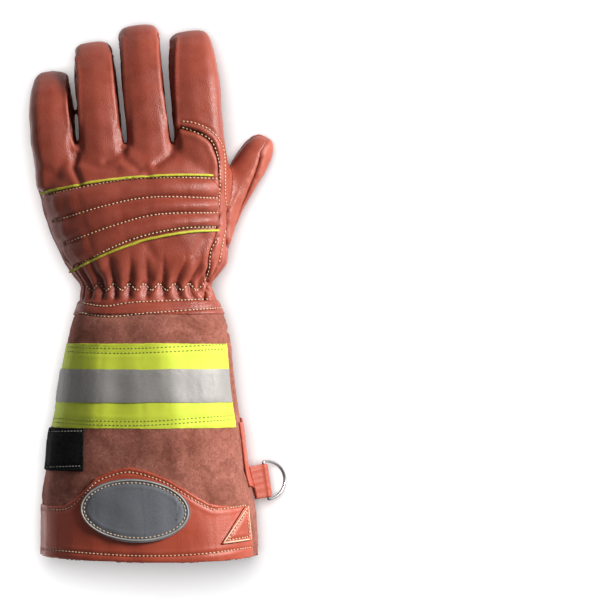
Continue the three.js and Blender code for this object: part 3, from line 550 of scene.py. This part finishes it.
# %% Hide grain
grain, entry, leave = new_group("hide_grain",
    [("Vector", "NodeSocketVector", None), ("Cells", "NodeSocketFloat", 900.0)],
    ["Height", "Mottle", "Cloud"])
cells = grain.nodes.new("ShaderNodeTexVoronoi")
cells.feature = "DISTANCE_TO_EDGE"
grain.links.new(entry.outputs["Cells"], cells.inputs["Scale"])
grain.links.new(entry.outputs["Vector"], cells.inputs["Vector"])
pores = spread(grain, cells.outputs["Distance"], 0.0, 0.28)
fine = noise_node(grain, entry.outputs["Vector"], 2400, 3, 0.6)
mottle = noise_node(grain, entry.outputs["Vector"], 110, 4, 0.6)
cloud = noise_node(grain, entry.outputs["Vector"], 26, 2, 0.5, 0.4)
grain.links.new(maths(grain, "ADD", pores, maths(grain, "MULTIPLY", fine, 0.7)), leave.inputs["Height"])
grain.links.new(spread(grain, mottle, 0.3, 0.7), leave.inputs["Mottle"])
grain.links.new(spread(grain, cloud, 0.35, 0.65), leave.inputs["Cloud"])
print("hide_grain has", len(grain.nodes), "nodes")

# %% [markdown]
# Suede nap: the rough split side of the hide. Its fibres lie in tufts that were brushed this way
# and that, so the colour is mottled at several sizes and the surface has no shine.

# %% Suede nap
nap, entry, leave = new_group("suede_nap",
    [("Vector", "NodeSocketVector", None)], ["Height", "Tufts", "Brushed"])
fibres = noise_node(nap, entry.outputs["Vector"], 1500, 6, 0.75, 0.5)
tufts = noise_node(nap, entry.outputs["Vector"], 380, 6, 0.72, 1.2)
brushed = noise_node(nap, entry.outputs["Vector"], 55, 5, 0.65, 0.8)
nap.links.new(maths(nap, "ADD", fibres, tufts), leave.inputs["Height"])
nap.links.new(spread(nap, tufts, 0.42, 0.60), leave.inputs["Tufts"])
nap.links.new(spread(nap, brushed, 0.33, 0.67), leave.inputs["Brushed"])
print("suede_nap has", len(nap.nodes), "nodes")

# %% [markdown]
# Woven tape: threads cross over and under each other. Two sine waves at right angles make the
# bumps, and a slow noise makes the dye a little uneven.

# %% Woven tape
weave, entry, leave = new_group("woven_tape",
    [("Vector", "NodeSocketVector", None), ("Threads", "NodeSocketFloat", 1500.0)], ["Height", "Uneven"])
parts = weave.nodes.new("ShaderNodeSeparateXYZ")
weave.links.new(entry.outputs["Vector"], parts.inputs[0])
waves = []
for axis in ("X", "Y"):
    turned = maths(weave, "MULTIPLY", parts.outputs[axis], entry.outputs["Threads"])
    waves.append(maths(weave, "SINE", maths(weave, "MULTIPLY", turned, 2 * math.pi)))
uneven = noise_node(weave, entry.outputs["Vector"], 60, 3, 0.6)
weave.links.new(maths(weave, "MULTIPLY", waves[0], waves[1]), leave.inputs["Height"])
weave.links.new(spread(weave, uneven, 0.3, 0.7), leave.inputs["Uneven"])
print("woven_tape has", len(weave.nodes), "nodes")

# %% [markdown]
# Retroreflective film is a sheet of tiny glass beads on aluminium. From near by it is matt grey
# with a fine sparkle, because some beads face the lamp. Voronoi cells with a random value each
# give the sparkle.

# %% Bead film
beads, entry, leave = new_group("bead_film",
    [("Vector", "NodeSocketVector", None)], ["Sparkle", "Height", "Haze"])
dots = beads.nodes.new("ShaderNodeTexVoronoi")
dots.inputs["Scale"].default_value = 2200
beads.links.new(entry.outputs["Vector"], dots.inputs["Vector"])
single = beads.nodes.new("ShaderNodeSeparateColor")
beads.links.new(dots.outputs["Color"], single.inputs[0])
haze = noise_node(beads, entry.outputs["Vector"], 45, 4, 0.6)
beads.links.new(spread(beads, single.outputs[0], 0.1, 1.0), leave.inputs["Sparkle"])
beads.links.new(dots.outputs["Distance"], leave.inputs["Height"])
beads.links.new(spread(beads, haze, 0.35, 0.65), leave.inputs["Haze"])
print("bead_film has", len(beads.nodes), "nodes")

# %% [markdown]
# Handling wears the high places pale and smooth and leaves dirt in the low ones, and the same masks also
# paint light and shade. The shaping above kept how high each point stands in an attribute, with painted
# light and shade added into it. This group turns it into two masks, broken up by noise so that the wearing
# isn't even: a pale one for worn crests and lit places, partly painted light, and a dark one for dirty low
# places, partly painted shade.

# %% Wear, dirt, painted light and painted shade
wear_and_shading, entry, leave = new_group("handling_and_shading",
    [("Vector", "NodeSocketVector", None), ("Relief", "NodeSocketFloat", 0.5)], ["Rubbed", "Dirt_and_shade"])
broken = noise_node(wear_and_shading, entry.outputs["Vector"], 190, 5, 0.7)
high = maths(wear_and_shading, "ADD", entry.outputs["Relief"], maths(wear_and_shading, "MULTIPLY", broken, 0.35))
low = maths(wear_and_shading, "ADD", entry.outputs["Relief"], maths(wear_and_shading, "MULTIPLY", broken, 0.2))
wear_and_shading.links.new(spread(wear_and_shading, high, 0.72, 1.0), leave.inputs["Rubbed"])
wear_and_shading.links.new(spread(wear_and_shading, low, 0.5, 0.15), leave.inputs["Dirt_and_shade"])
print("handling has", len(wear_and_shading.nodes), "nodes")

# %% [markdown]
# ## The finishes
# Each material places the groups with its own values. Colours were read by eye from the
# photograph and corrected after the first renders were laid beside it.

# %% Finish helper
def start_finish(name, rough, specular=0.5, sheen=0.0, metal=0.0):
    made, nodes, shader = material_named(name)
    shader.inputs["Roughness"].default_value = rough
    shader.inputs["Specular IOR Level"].default_value = specular
    shader.inputs["Sheen Weight"].default_value = sheen
    shader.inputs["Metallic"].default_value = metal
    place = nodes.new("ShaderNodeTexCoord")
    return made, made.node_tree, shader, place.outputs["Object"]


def placed(tree, group, vector, **values):
    node = tree.nodes.new("ShaderNodeGroup")
    node.node_tree = group
    tree.links.new(vector, node.inputs["Vector"])
    for label, value in values.items():
        if isinstance(value, (int, float)):
            node.inputs[label].default_value = value
        else:
            tree.links.new(value, node.inputs[label])
    return node.outputs


def tinted(tree, mask, under, over, share=1.0):
    node = tree.nodes.new("ShaderNodeMix")
    node.data_type = "RGBA"
    tree.links.new(maths(tree, "MULTIPLY", mask, share), node.inputs["Factor"])
    for label, colour in (("A", under), ("B", over)):
        socket = [s for s in node.inputs if s.name == label and s.type == "RGBA"][0]
        if isinstance(colour, tuple):
            socket.default_value = (*colour, 1)
        else:
            tree.links.new(colour, socket)
    return [s for s in node.outputs if s.type == "RGBA"][0]


def painted(tree, shader, paint):
    tree.links.new(paint, shader.inputs["Base Color"])


def bumped(tree, shader, height, strength, deep):
    node = tree.nodes.new("ShaderNodeBump")
    node.inputs["Strength"].default_value = strength
    node.inputs["Distance"].default_value = deep
    tree.links.new(height, node.inputs["Height"])
    tree.links.new(node.outputs["Normal"], shader.inputs["Normal"])


def handled_and_shaded(tree, place):
    relief = tree.nodes.new("ShaderNodeAttribute")
    relief.attribute_name = "relief"
    return placed(tree, wear_and_shading, place, Relief=relief.outputs["Fac"])


def leather(name, colour, deep, pale, cell_count, rough, bump):
    made, tree, shader, place = start_finish(name, rough, 0.42)
    hide = placed(tree, grain, place, Cells=cell_count)
    used_and_shaded = handled_and_shaded(tree, place)
    paint = tinted(tree, hide["Cloud"], colour, deep, 0.3)
    paint = tinted(tree, hide["Mottle"], paint, pale, 0.22)
    # Worn crests and lit places are tinted pale, partly wear and partly painted light. Dirty low places are
    # tinted dark, partly dirt and partly painted shade.
    paint = tinted(tree, used_and_shaded["Rubbed"], paint, pale, 0.5)
    paint = tinted(tree, used_and_shaded["Dirt_and_shade"], paint, deep, 0.85)
    painted(tree, shader, paint)
    roughness = spread(tree, hide["Mottle"], 0, 1, rough - 0.07, rough + 0.09)
    tree.links.new(roughness, shader.inputs["Roughness"])
    bumped(tree, shader, hide["Height"], bump, 0.00025)
    return made


# %% Leathers and suede
grain_leather = leather("grain_leather", (0.265, 0.047, 0.026), (0.085, 0.012, 0.007),
                        (0.44, 0.105, 0.064), 850.0, 0.42, 0.32)
coral_leather = leather("coral_leather", (0.39, 0.065, 0.033), (0.18, 0.025, 0.012),
                        (0.50, 0.105, 0.06), 1100.0, 0.42, 0.22)
suede, tree, shader, place = start_finish("suede", 0.95, 0.12, 0.16)
shader.inputs["Sheen Roughness"].default_value = 0.6
shader.inputs["Sheen Tint"].default_value = (0.95, 0.62, 0.55, 1)
fuzz = placed(tree, nap, place)
used_and_shaded = handled_and_shaded(tree, place)
paint = tinted(tree, fuzz["Brushed"], (0.20, 0.062, 0.040), (0.40, 0.150, 0.112))
paint = tinted(tree, fuzz["Tufts"], paint, (0.095, 0.026, 0.017), 0.5)
# Low places and the shaded left of the cuff are tinted dark, partly dirt and partly painted shade.
paint = tinted(tree, used_and_shaded["Dirt_and_shade"], paint, (0.12, 0.035, 0.025), 0.6)
painted(tree, shader, paint)
bumped(tree, shader, fuzz["Height"], 0.55, 0.0006)
print("leathers", grain_leather.name, coral_leather.name, "and", suede.name)

# %% Tapes, films, thread and steel
lime_fabric, tree, shader, place = start_finish("lime_fabric", 0.62, 0.3)
cloth = placed(tree, weave, place, Threads=1300.0)
painted(tree, shader, tinted(tree, cloth["Uneven"], (0.58, 0.65, 0.055), (0.50, 0.61, 0.04)))
bumped(tree, shader, cloth["Height"], 0.25, 0.00012)


def film(name, colour, shine, dull, metal, rough):
    made, tree, shader, place = start_finish(name, rough, 0.5, 0.0, metal)
    spots = placed(tree, beads, place)
    paint = tinted(tree, spots["Sparkle"], dull, shine, 0.4)
    painted(tree, shader, tinted(tree, spots["Haze"], paint, colour, 0.5))
    bumped(tree, shader, spots["Height"], 0.15, 0.0001)
    return made


silver_film = film("silver_film", (0.285, 0.27, 0.26), (0.38, 0.365, 0.355), (0.23, 0.22, 0.21), 0.1, 0.55)
grey_film = film("grey_film", (0.175, 0.185, 0.205), (0.24, 0.25, 0.275), (0.13, 0.14, 0.16), 0.1, 0.5)
black_tape, tree, shader, place = start_finish("black_tape", 0.95, 0.08, 0.03)
loops = placed(tree, nap, place)
painted(tree, shader, tinted(tree, loops["Tufts"], (0.004, 0.004, 0.004), (0.014, 0.013, 0.013)))
bumped(tree, shader, loops["Height"], 0.9, 0.0008)
piping_cord, tree, shader, place = start_finish("piping_cord", 0.55, 0.35)
cloth = placed(tree, weave, place, Threads=1800.0)
painted(tree, shader, tinted(tree, cloth["Uneven"], (0.52, 0.46, 0.045), (0.42, 0.44, 0.03)))
bumped(tree, shader, cloth["Height"], 0.3, 0.0001)


def thread_finish(name, colour, shade):
    made, tree, shader, place = start_finish(name, 0.6, 0.35)
    twist = placed(tree, grain, place, Cells=2500.0)
    painted(tree, shader, tinted(tree, twist["Mottle"], colour, shade))
    return made


cream_thread = thread_finish("cream_thread", (0.74, 0.58, 0.40), (0.60, 0.42, 0.27))
lime_thread = thread_finish("lime_thread", (0.30, 0.36, 0.07), (0.22, 0.27, 0.04))
binding_thread = thread_finish("binding_thread", (0.46, 0.44, 0.40), (0.34, 0.32, 0.30))
grey_thread = thread_finish("grey_thread", (0.32, 0.31, 0.30), (0.20, 0.20, 0.19))
steel, tree, shader, place = start_finish("steel", 0.28, 0.5, 0.0, 1.0)
scratched = placed(tree, grain, place, Cells=600.0)
painted(tree, shader, tinted(tree, scratched["Mottle"], (0.42, 0.43, 0.44), (0.30, 0.31, 0.32)))
tree.links.new(spread(tree, scratched["Cloud"], 0, 1, 0.2, 0.4), shader.inputs["Roughness"])
print("materials", len(bpy.data.materials))

# %% [markdown]
# ## Cutting the leather
# The shaped form is cut along its seams into the real panels. Each one gets the thickness of its
# leather with a Solidify modifier that grows inwards, so the outside stays where it was put.

# %% Panels of the hand and the cuff
LEATHER = 1.5 * MM


def finished(bm, name, material, nodes=(), body="glove"):
    bm.normal_update()
    mesh = bpy.data.meshes.new(name)
    bm.to_mesh(mesh)
    bm.free()
    mesh.shade_smooth()
    mesh.materials.clear()
    mesh.materials.append(material)
    piece = bpy.data.objects.new(name, mesh)
    bpy.context.scene.collection.objects.link(piece)
    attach(piece, body)
    if nodes:
        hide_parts(*nodes)
    return piece


made_pieces = {}
for index, node in enumerate(PANELS):
    bm = form.copy()
    layer = bm.faces.layers.int["owner"]
    bmesh.ops.delete(bm, geom=[f for f in bm.faces if f[layer] != index], context="FACES")
    on_cuff = node.startswith("cuff")
    piece = finished(bm, node + "_soft", suede if on_cuff else grain_leather,
                     [node])
    wall = piece.modifiers.new("leather thickness", "SOLIDIFY")
    wall.thickness = LEATHER
    wall.offset = -1
    made_pieces[node] = piece
    print(piece.name, len(piece.data.polygons), "faces")

# %% [markdown]
# ## What is sewn on top
# Pads, tapes and patches lie on the panels. The leather ones, the piping and the loop tape are
# remeshed finely and smoothed so that their cut edges look rolled. The trim, the film and the
# small black piece are only cut into a finer net, which keeps their edges crisp. Then every point
# moves as the form under it moved.

# %% Patches and tapes
def fine_net(names, longest):
    bm = cad_copy(names)
    for step in range(9):
        bmesh.ops.triangulate(bm, faces=bm.faces)
        long_edges = [e for e in bm.edges if e.calc_length() > longest]
        if not long_edges:
            break
        bmesh.ops.subdivide_edges(bm, edges=long_edges, cuts=1, use_grid_fill=True)
    return bm


def rolled(names, voxel, passes, start=None):
    bm = voxel_remesh(start or cad_copy(names), voxel)
    for step in range(passes):
        smooth_once(bm, bm.verts)
    return bm


def ironed(bm, passes):
    """Facets are smoothed along the tape, while its long edges and its two ends stay put."""
    far_end = max(v.co.x for v in bm.verts) - 4 * MM
    low_end = min(v.co.z for v in bm.verts) + 4 * MM
    middle = [v for v in bm.verts if v.co.x < far_end and v.co.z > low_end]
    for step in range(passes):
        smooth_once(bm, middle, along_y=False)
    return bm


def trimmed(names, point, normal):
    """The CAD's thin end facets are ragged, so the leather is cut off straight inside them."""
    bm = cad_copy(names)
    everything = bm.verts[:] + bm.edges[:] + bm.faces[:]
    cut = bmesh.ops.bisect_plane(bm, geom=everything, plane_co=point, plane_no=normal, clear_outer=True)
    edges = [e for e in cut["geom_cut"] if isinstance(e, bmesh.types.BMEdge)]
    bmesh.ops.holes_fill(bm, edges=edges, sides=0)
    bmesh.ops.triangulate(bm, faces=bm.faces)
    return bm


def sewn_on(bm, name, material, nodes):
    points = carried(np.array([v.co for v in bm.verts]))
    points[:, 2] = np.maximum(points[:, 2], 0.0001)
    for v, p in zip(bm.verts, points):
        v.co = p
    piece = finished(bm, name, material, nodes)
    made_pieces[nodes[0]] = piece
    print(name, len(piece.data.polygons), "faces")
    return piece


def crisp(bm, angle=0.7):
    for e in bm.edges:
        if len(e.link_faces) == 2 and e.calc_face_angle(0.0) > angle:
            e.smooth = False
    return bm


def sew_rolled(node, ending, material, voxel, passes, start=None):
    return sewn_on(rolled([node], voxel * MM, passes, start), node + ending, material, [node])


def sew_crisp(bm, node, ending, material):
    return sewn_on(crisp(bm), node + ending, material, [node])


sew_rolled("knuckle_pad", "_quilted", grain_leather, 0.75, 22)
for node in ("piping_upper", "piping_lower"):
    sew_rolled(node, "_cord", piping_cord, 0.4, 3)
sew_rolled("wrist_band", "_sewn", grain_leather, 0.6, 4)
sew_rolled("wrist_patch", "_sewn", grain_leather, 0.65, 4)
sew_crisp(ironed(fine_net(["tape_lime"], 2.0 * MM), 14), "tape_lime", "_woven", lime_fabric)
sew_crisp(ironed(fine_net(["tape_silver"], 2.0 * MM), 14), "tape_silver", "_film", silver_film)
keeper = fine_net(["keeper_patch"], 1.5 * MM)
bmesh.ops.translate(keeper, verts=keeper.verts, vec=(1.7 * MM, 0, 0))
sew_crisp(keeper, "keeper_patch", "_pile", black_tape)
hem_start = trimmed(["hem_panel"], (62 * MM, 0, 40.5 * MM), (0.163, 0, -1))
sew_rolled("hem_panel", "_sewn", coral_leather, 0.65, 5, hem_start)
sew_crisp(fine_net(["oval_patch"], 1.5 * MM), "oval_patch", "_film", grey_film)
sew_rolled("corner_patch", "_sewn", coral_leather, 0.5, 3)
sew_rolled("strap_base", "_sewn", coral_leather, 0.65, 4)
sew_rolled("loop_tape", "_pile", black_tape, 0.65, 2)
strap_start = trimmed(["closure_strap"], (0, 0, 32 * MM), (0, 0, 1))
sew_rolled("closure_strap", "_sewn", coral_leather, 0.7, 6, strap_start)
sew_rolled("ring_tab", "_folded", coral_leather, 0.5, 3)

# %% [markdown]
# The knuckle pad is two layers of leather with foam between them, sewn through in rows. Between
# two rows the foam stands up in a low crown. A cloth simulation under pressure would give the same
# rolls, but less exactly at the stitches, so the distance to the nearest row sets the height.

# %% Quilt the knuckle pad
PAD_ROWS = [[(42, 193), (121, 178.5), (176.5, 176), (221, 177)],
            [(50, 222), (108, 205), (154, 197), (221, 198)],
            [(61, 245), (113.6, 225.5), (158, 214.4), (221, 212.5)],
            [(69, 270), (128, 242.5), (176.5, 230.5), (221, 228.5)]]
pad = made_pieces["knuckle_pad"].data
pad_points = np.array([v.co for v in pad.vertices])
pad_normals = np.array([v.normal for v in pad.vertices])
# A point at height z shows further out than its plan, so it is first drawn back to the camera's plan.
drawn = np.array([EYE + (Vector(p) - EYE) * ((EYE.z - FOCUS_HEIGHT) / (EYE.z - p[2])) for p in pad_points])
row_far = np.min([distance_to_line(drawn, [plan(*p) for p in row]) for row in PAD_ROWS], axis=0)
crown = 1.5 * (1 - np.exp(-((row_far / 0.0034) ** 2))) * fade(pad_normals[:, 2], 0.0, 0.5)
pad.vertices.foreach_set("co", (pad_points + pad_normals * (crown * MM)[:, None]).ravel())
pad.update()
print("the pad's crowns rise", round(float(crown.max()), 2), "mm")

# %% [markdown]
# The D-ring is bent from steel wire. Its CAD solid has a six-sided wire, so a merged copy is
# rounded with a Subdivision Surface, swollen first because subdividing a six-sided wire thins it.

# %% D-ring
ring_bm = cad_copy(["d_ring"])
ring_bm.normal_update()
swell = {v: v.normal * 0.13 * MM for v in ring_bm.verts}
for v, step in swell.items():
    v.co += step
ring = finished(ring_bm, "d_ring_wire", steel, ["d_ring"], "ring")
round_wire = ring.modifiers.new("round wire", "SUBSURF")
round_wire.levels = 2
round_wire.render_levels = 2

# %% [markdown]
# ## Stitching
# Every seam that shows is sewn with thick thread, about four stitches to the centimetre. A line
# of stitches is drawn in plan, in the photograph's pixels, dropped onto whatever lies uppermost
# there, and pressed a little into it. Then small capsules are laid along it. A texture could fake
# this, but real stitches catch the light and hold from every side.

# %% Lines of stitches
def curve_through(points, closed=False, step=0.5 * MM):
    pts = [Vector(p) for p in points]
    if closed:
        pts = [pts[-1]] + pts + pts[:2]
    else:
        pts = [2 * pts[0] - pts[1]] + pts + [2 * pts[-1] - pts[-2]]
    out = []
    for a, b, c, d in zip(pts, pts[1:], pts[2:], pts[3:]):
        count = max(2, int((c - b).length / step))
        out += interpolate_bezier(b, b + (c - a) / 6, c - (d - b) / 6, c, count + 1)[:-1]
    return out + [pts[-2]]


def all_pieces_tree():
    points, faces = [], []
    for piece in made_pieces.values():
        start = len(points)
        points += [v.co.copy() for v in piece.data.vertices]
        faces += [[start + i for i in p.vertices] for p in piece.data.polygons]
    return BVHTree.FromPolygons(points, faces)


def dropped(tree, line, below=False):
    out = []
    for p in line:
        if below:
            hit = tree.ray_cast(Vector((p.x, p.y, -0.2)), Vector((0, 0, 1)))
        else:
            hit = tree.ray_cast(EYE, (p - EYE).normalized())
        if hit[0] is not None:
            normal = hit[1] if hit[1].z * (-1 if below else 1) > 0 else -hit[1]
            out.append((hit[0], normal))
    return out


def pixels(*pairs):
    return [plan(px, py) for px, py in pairs]


def shifted(pairs, down):
    return [(px, py + down) for px, py in pairs]


def flat(*pairs):
    return [Vector((px * MM, py * MM, 0)) for px, py in pairs]


oval_low, oval_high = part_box("oval_patch")


def oval(inset, lean=0.052):
    middle = (oval_low + oval_high) / 2
    long_half, short_half = ((oval_high - oval_low) / 2).xy - Vector((inset, inset))
    out = []
    for i in range(24):
        t = i / 24 * 2 * math.pi
        along, across = long_half * math.cos(t), short_half * math.sin(t)
        out.append(Vector((middle.x + along + lean * across, middle.y + across - lean * along, middle.z)))
    return out


hem_top = [(41.6, 506), (65, 506), (79, 497), (95, 480), (113, 472), (129, 469), (148, 473),
           (168, 481), (188, 493), (208, 504), (218, 506), (247, 502)]
tape_top = [(67.5, 343.5), (129, 345), (226, 341)]
tape_low = [(54, 426), (136.5, 429), (233, 423)]
patch_low, patch_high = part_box("wrist_patch")
patch_mid = (patch_low.x + patch_high.x) / 2
patch_half = (patch_high.x - patch_low.x) / 2 - 2.4 * MM
patch_deep = patch_high.y - patch_low.y - 2.4 * MM
patch_top = patch_high.y - 1 * MM
patch_arc = [Vector((patch_mid - patch_half * math.cos(t), patch_top - patch_deep * math.sin(t), 0))
             for t in np.linspace(0.03, math.pi - 0.03, 18)]
zigzag_top = pixels(*[(84 + 7.5 * i, 287 + (4 if i % 2 else -4)) for i in range(17)])
zigzag_low = flat(*[(-44 + 4.9 * i, 2.6 + (2.5 if i % 2 else -2.5)) for i in range(16)])
TOP, BELOW = False, True
SMOOTH, SHARP, RING = "smooth", "sharp", "ring"


def seen(*pairs, way=SMOOTH):
    return pixels(*pairs), TOP, way


def under(*pairs, way=SMOOTH):
    return flat(*pairs), BELOW, way


stitching = {
    "pad_stitches": (cream_thread, [
        seen((46, 194.5), (121, 180), (176.5, 177.4), (218, 178.5)),
        seen((54, 221), (108, 205), (154, 197), (219, 198)),
        seen((65.5, 243), (113.6, 225.5), (158, 214.4), (218, 212.5)),
        seen((71, 267.5), (128, 241), (176.5, 229), (219, 227))]),
    "thumb_seam_stitches": (cream_thread, [
        seen((181, 121), (195, 123), (210, 130), (219, 139.5), (224.5, 154), (225.5, 195), (227, 206)),
        seen((181, 127), (195, 132), (210, 139.5), (217, 154), (220, 173), (219, 208)),
        seen((219, 237), (211, 250), (209, 269), (204, 282)),
        seen((225.5, 230), (222, 249), (219, 265))]),
    "elastic_zigzag": (cream_thread, [(zigzag_top, TOP, SHARP), (zigzag_low, BELOW, SHARP)]),
    "band_stitches": (cream_thread, [
        seen((78, 302), (105, 306), (136, 302), (210, 299)),
        seen((74, 311.5), (109, 316.5), (148, 313), (222.5, 307.6)),
        under((-48, -7.6), (-8, -8.4), (38, -7.4)),
        under((-50, -13.2), (-8, -13.8), (40, -13.0))]),
    "tape_stitches": (lime_thread, [
        seen(*shifted(tape_top, 3.4)), seen(*shifted(tape_top, 8.0)),
        seen(*shifted(tape_low, -7.6)), seen(*shifted(tape_low, -3.6))]),
    "hem_stitches": (cream_thread, [
        seen(*shifted(hem_top, 3.2)),
        seen((41, 549), (100, 554), (148, 556), (200, 554), (254, 547)),
        under((-72, -166.3), (-10, -166.6), (58, -166.2))]),
    "oval_stitches": (cream_thread, [(oval(2.6 * MM), TOP, RING)]),
    "corner_stitches": (cream_thread, [
        seen((247.2, 511), (249.8, 536.6), (227.5, 540.2), (247.2, 511), way=SHARP)]),
    "pile_stitches": (grey_thread, [
        seen((47, 431.5), (83, 431.0), way=SHARP), seen((46, 467), (82, 466), way=SHARP),
        under((-62, -89.4), (-25, -89.4), way=SHARP),
        under((-62, -111.6), (-25, -111.6), way=SHARP)]),
    "patch_stitches": (cream_thread, [(patch_arc, BELOW, SMOOTH)]),
    "strap_stitches": (cream_thread, [
        under((-10.3, -86.7), (49.6, -91.2), (47.6, -113.6), (-11, -107.8), (-10.3, -86.7), way=SHARP),
        under((-19.6, -95), (-19.6, -104), way=SHARP)]),
}
surface = all_pieces_tree()


def tube(name, run, radius, material):
    bm = bmesh.new()
    rings = []
    for i, (point, normal) in enumerate(run):
        way = (run[(i + 1) % len(run)][0] - run[i - 1][0]).normalized()
        side = way.cross(normal).normalized()
        up = side.cross(way)
        turn = [k * math.pi / 3 for k in range(6)]
        rings.append([bm.verts.new(point + radius * (math.cos(t) * side + math.sin(t) * up)) for t in turn])
    for a, b in zip(rings, rings[1:] + rings[:1]):
        for k in range(6):
            bm.faces.new((a[k], a[k - 5], b[k - 5], b[k]))
    bmesh.ops.recalc_face_normals(bm, faces=bm.faces)
    return finished(bm, name, material)


edge_run = dropped(surface, curve_through(oval(0.95 * MM), closed=True, step=0.9 * MM)[:-1])
tube("oval_binding", edge_run, 0.5 * MM, binding_thread)
corner = pixels((248.3, 506.6), (251.2, 539.0), (223.4, 543.2))
corner_run = []
for a, b in zip(corner, corner[1:] + corner[:1]):
    corner_run += [a.lerp(b, i / 14) for i in range(14)]
tube("corner_binding", dropped(surface, corner_run), 0.42 * MM, cream_thread)
runs = {}
for name, (thread, lines) in stitching.items():
    for line, below, way in lines:
        if way == SHARP:
            dense = []
            for a, b in zip(line[:-1], line[1:]):
                count = max(2, int((b - a).length / (0.5 * MM)))
                dense += [a.lerp(b, i / count) for i in range(count)]
            dense.append(line[-1])
        else:
            dense = curve_through(line, closed=way == RING)
        runs.setdefault(name, []).append(dropped(surface, dense, below))
print({name: sum(len(r) for r in found) for name, found in runs.items()})

# %% [markdown]
# Thread pulled tight draws the leather down. Every point of every piece near a line of stitches
# sinks by up to about half a millimetre, and swells a little just beside it.

# %% Press the stitch lines in
press_tree = KDTree(sum(len(r) for found in runs.values() for r in found))
count = 0
for found in runs.values():
    for run in found:
        for point, normal in run:
            press_tree.insert(point, count)
            count += 1
press_tree.balance()
for node, piece in made_pieces.items():
    mesh = piece.data
    relief = mesh.attributes.get("relief") or mesh.attributes.new("relief", "FLOAT", "POINT")
    kept = np.empty(len(mesh.vertices))
    relief.data.foreach_get("value", kept)
    kept = kept if kept.any() else np.full(len(mesh.vertices), 0.5)
    deep = 0.25 if "film" in piece.name or "woven" in piece.name else 0.55
    points = np.array([v.co for v in mesh.vertices])
    outwards = np.array([v.normal for v in mesh.vertices])
    far = np.array([press_tree.find(p)[2] for p in points])
    sink = deep * np.exp(-((far / 0.0009) ** 2)) - 0.16 * np.exp(-(((far - 0.0026) / 0.0012) ** 2))
    points -= outwards * (sink * MM)[:, None]
    mesh.vertices.foreach_set("co", points.ravel())
    # Lowering the height attribute along the stitch lines makes their grooves darker, partly as dirt and
    # partly as painted shade.
    relief.data.foreach_set("value", np.clip(kept - 0.5 * sink, 0, 1))
    mesh.update()
print(count, "points of stitch lines were pressed in")


# %% Lay the stitches
STITCH_PITCH = 2.3 * MM
STITCH_LENGTH = 1.6 * MM
STITCH_WIDTH = 0.78 * MM
LINE_BREAK = 4 * MM


def lay(bm, run, pitch, length, wide):
    travelled, last = 0.0, None
    where = []
    for point, normal in run:
        if last is not None:
            step = (point - last).length
            if step > LINE_BREAK:
                where, travelled = [], 0.0
            travelled += step
        last = point
        where.append((travelled, point, normal))
        if travelled >= pitch * 0.95:
            middle = where[len(where) // 2]
            way = (where[-1][1] - where[0][1]).normalized()
            up = (middle[2] - way * middle[2].dot(way)).normalized()
            side = way.cross(up)
            centre = middle[1] - up * 0.12 * MM
            turn = Matrix((side * wide / 2, up * 0.62 * wide, way * length / 2)).transposed().to_4x4()
            there = Matrix.Translation(centre) @ turn
            bmesh.ops.create_uvsphere(bm, u_segments=6, v_segments=5, radius=1, matrix=there)
            where, travelled = [], 0.0


for name, (thread, lines) in stitching.items():
    bm = bmesh.new()
    for run in runs[name]:
        lay(bm, run, STITCH_PITCH, STITCH_LENGTH, STITCH_WIDTH)
    bmesh.ops.recalc_face_normals(bm, faces=bm.faces)
    piece = finished(bm, name, thread)
    print(name, len(piece.data.polygons), "faces on", len(lines), "lines")

# %% Free the working form
form.free()
bpy.context.view_layer.update()
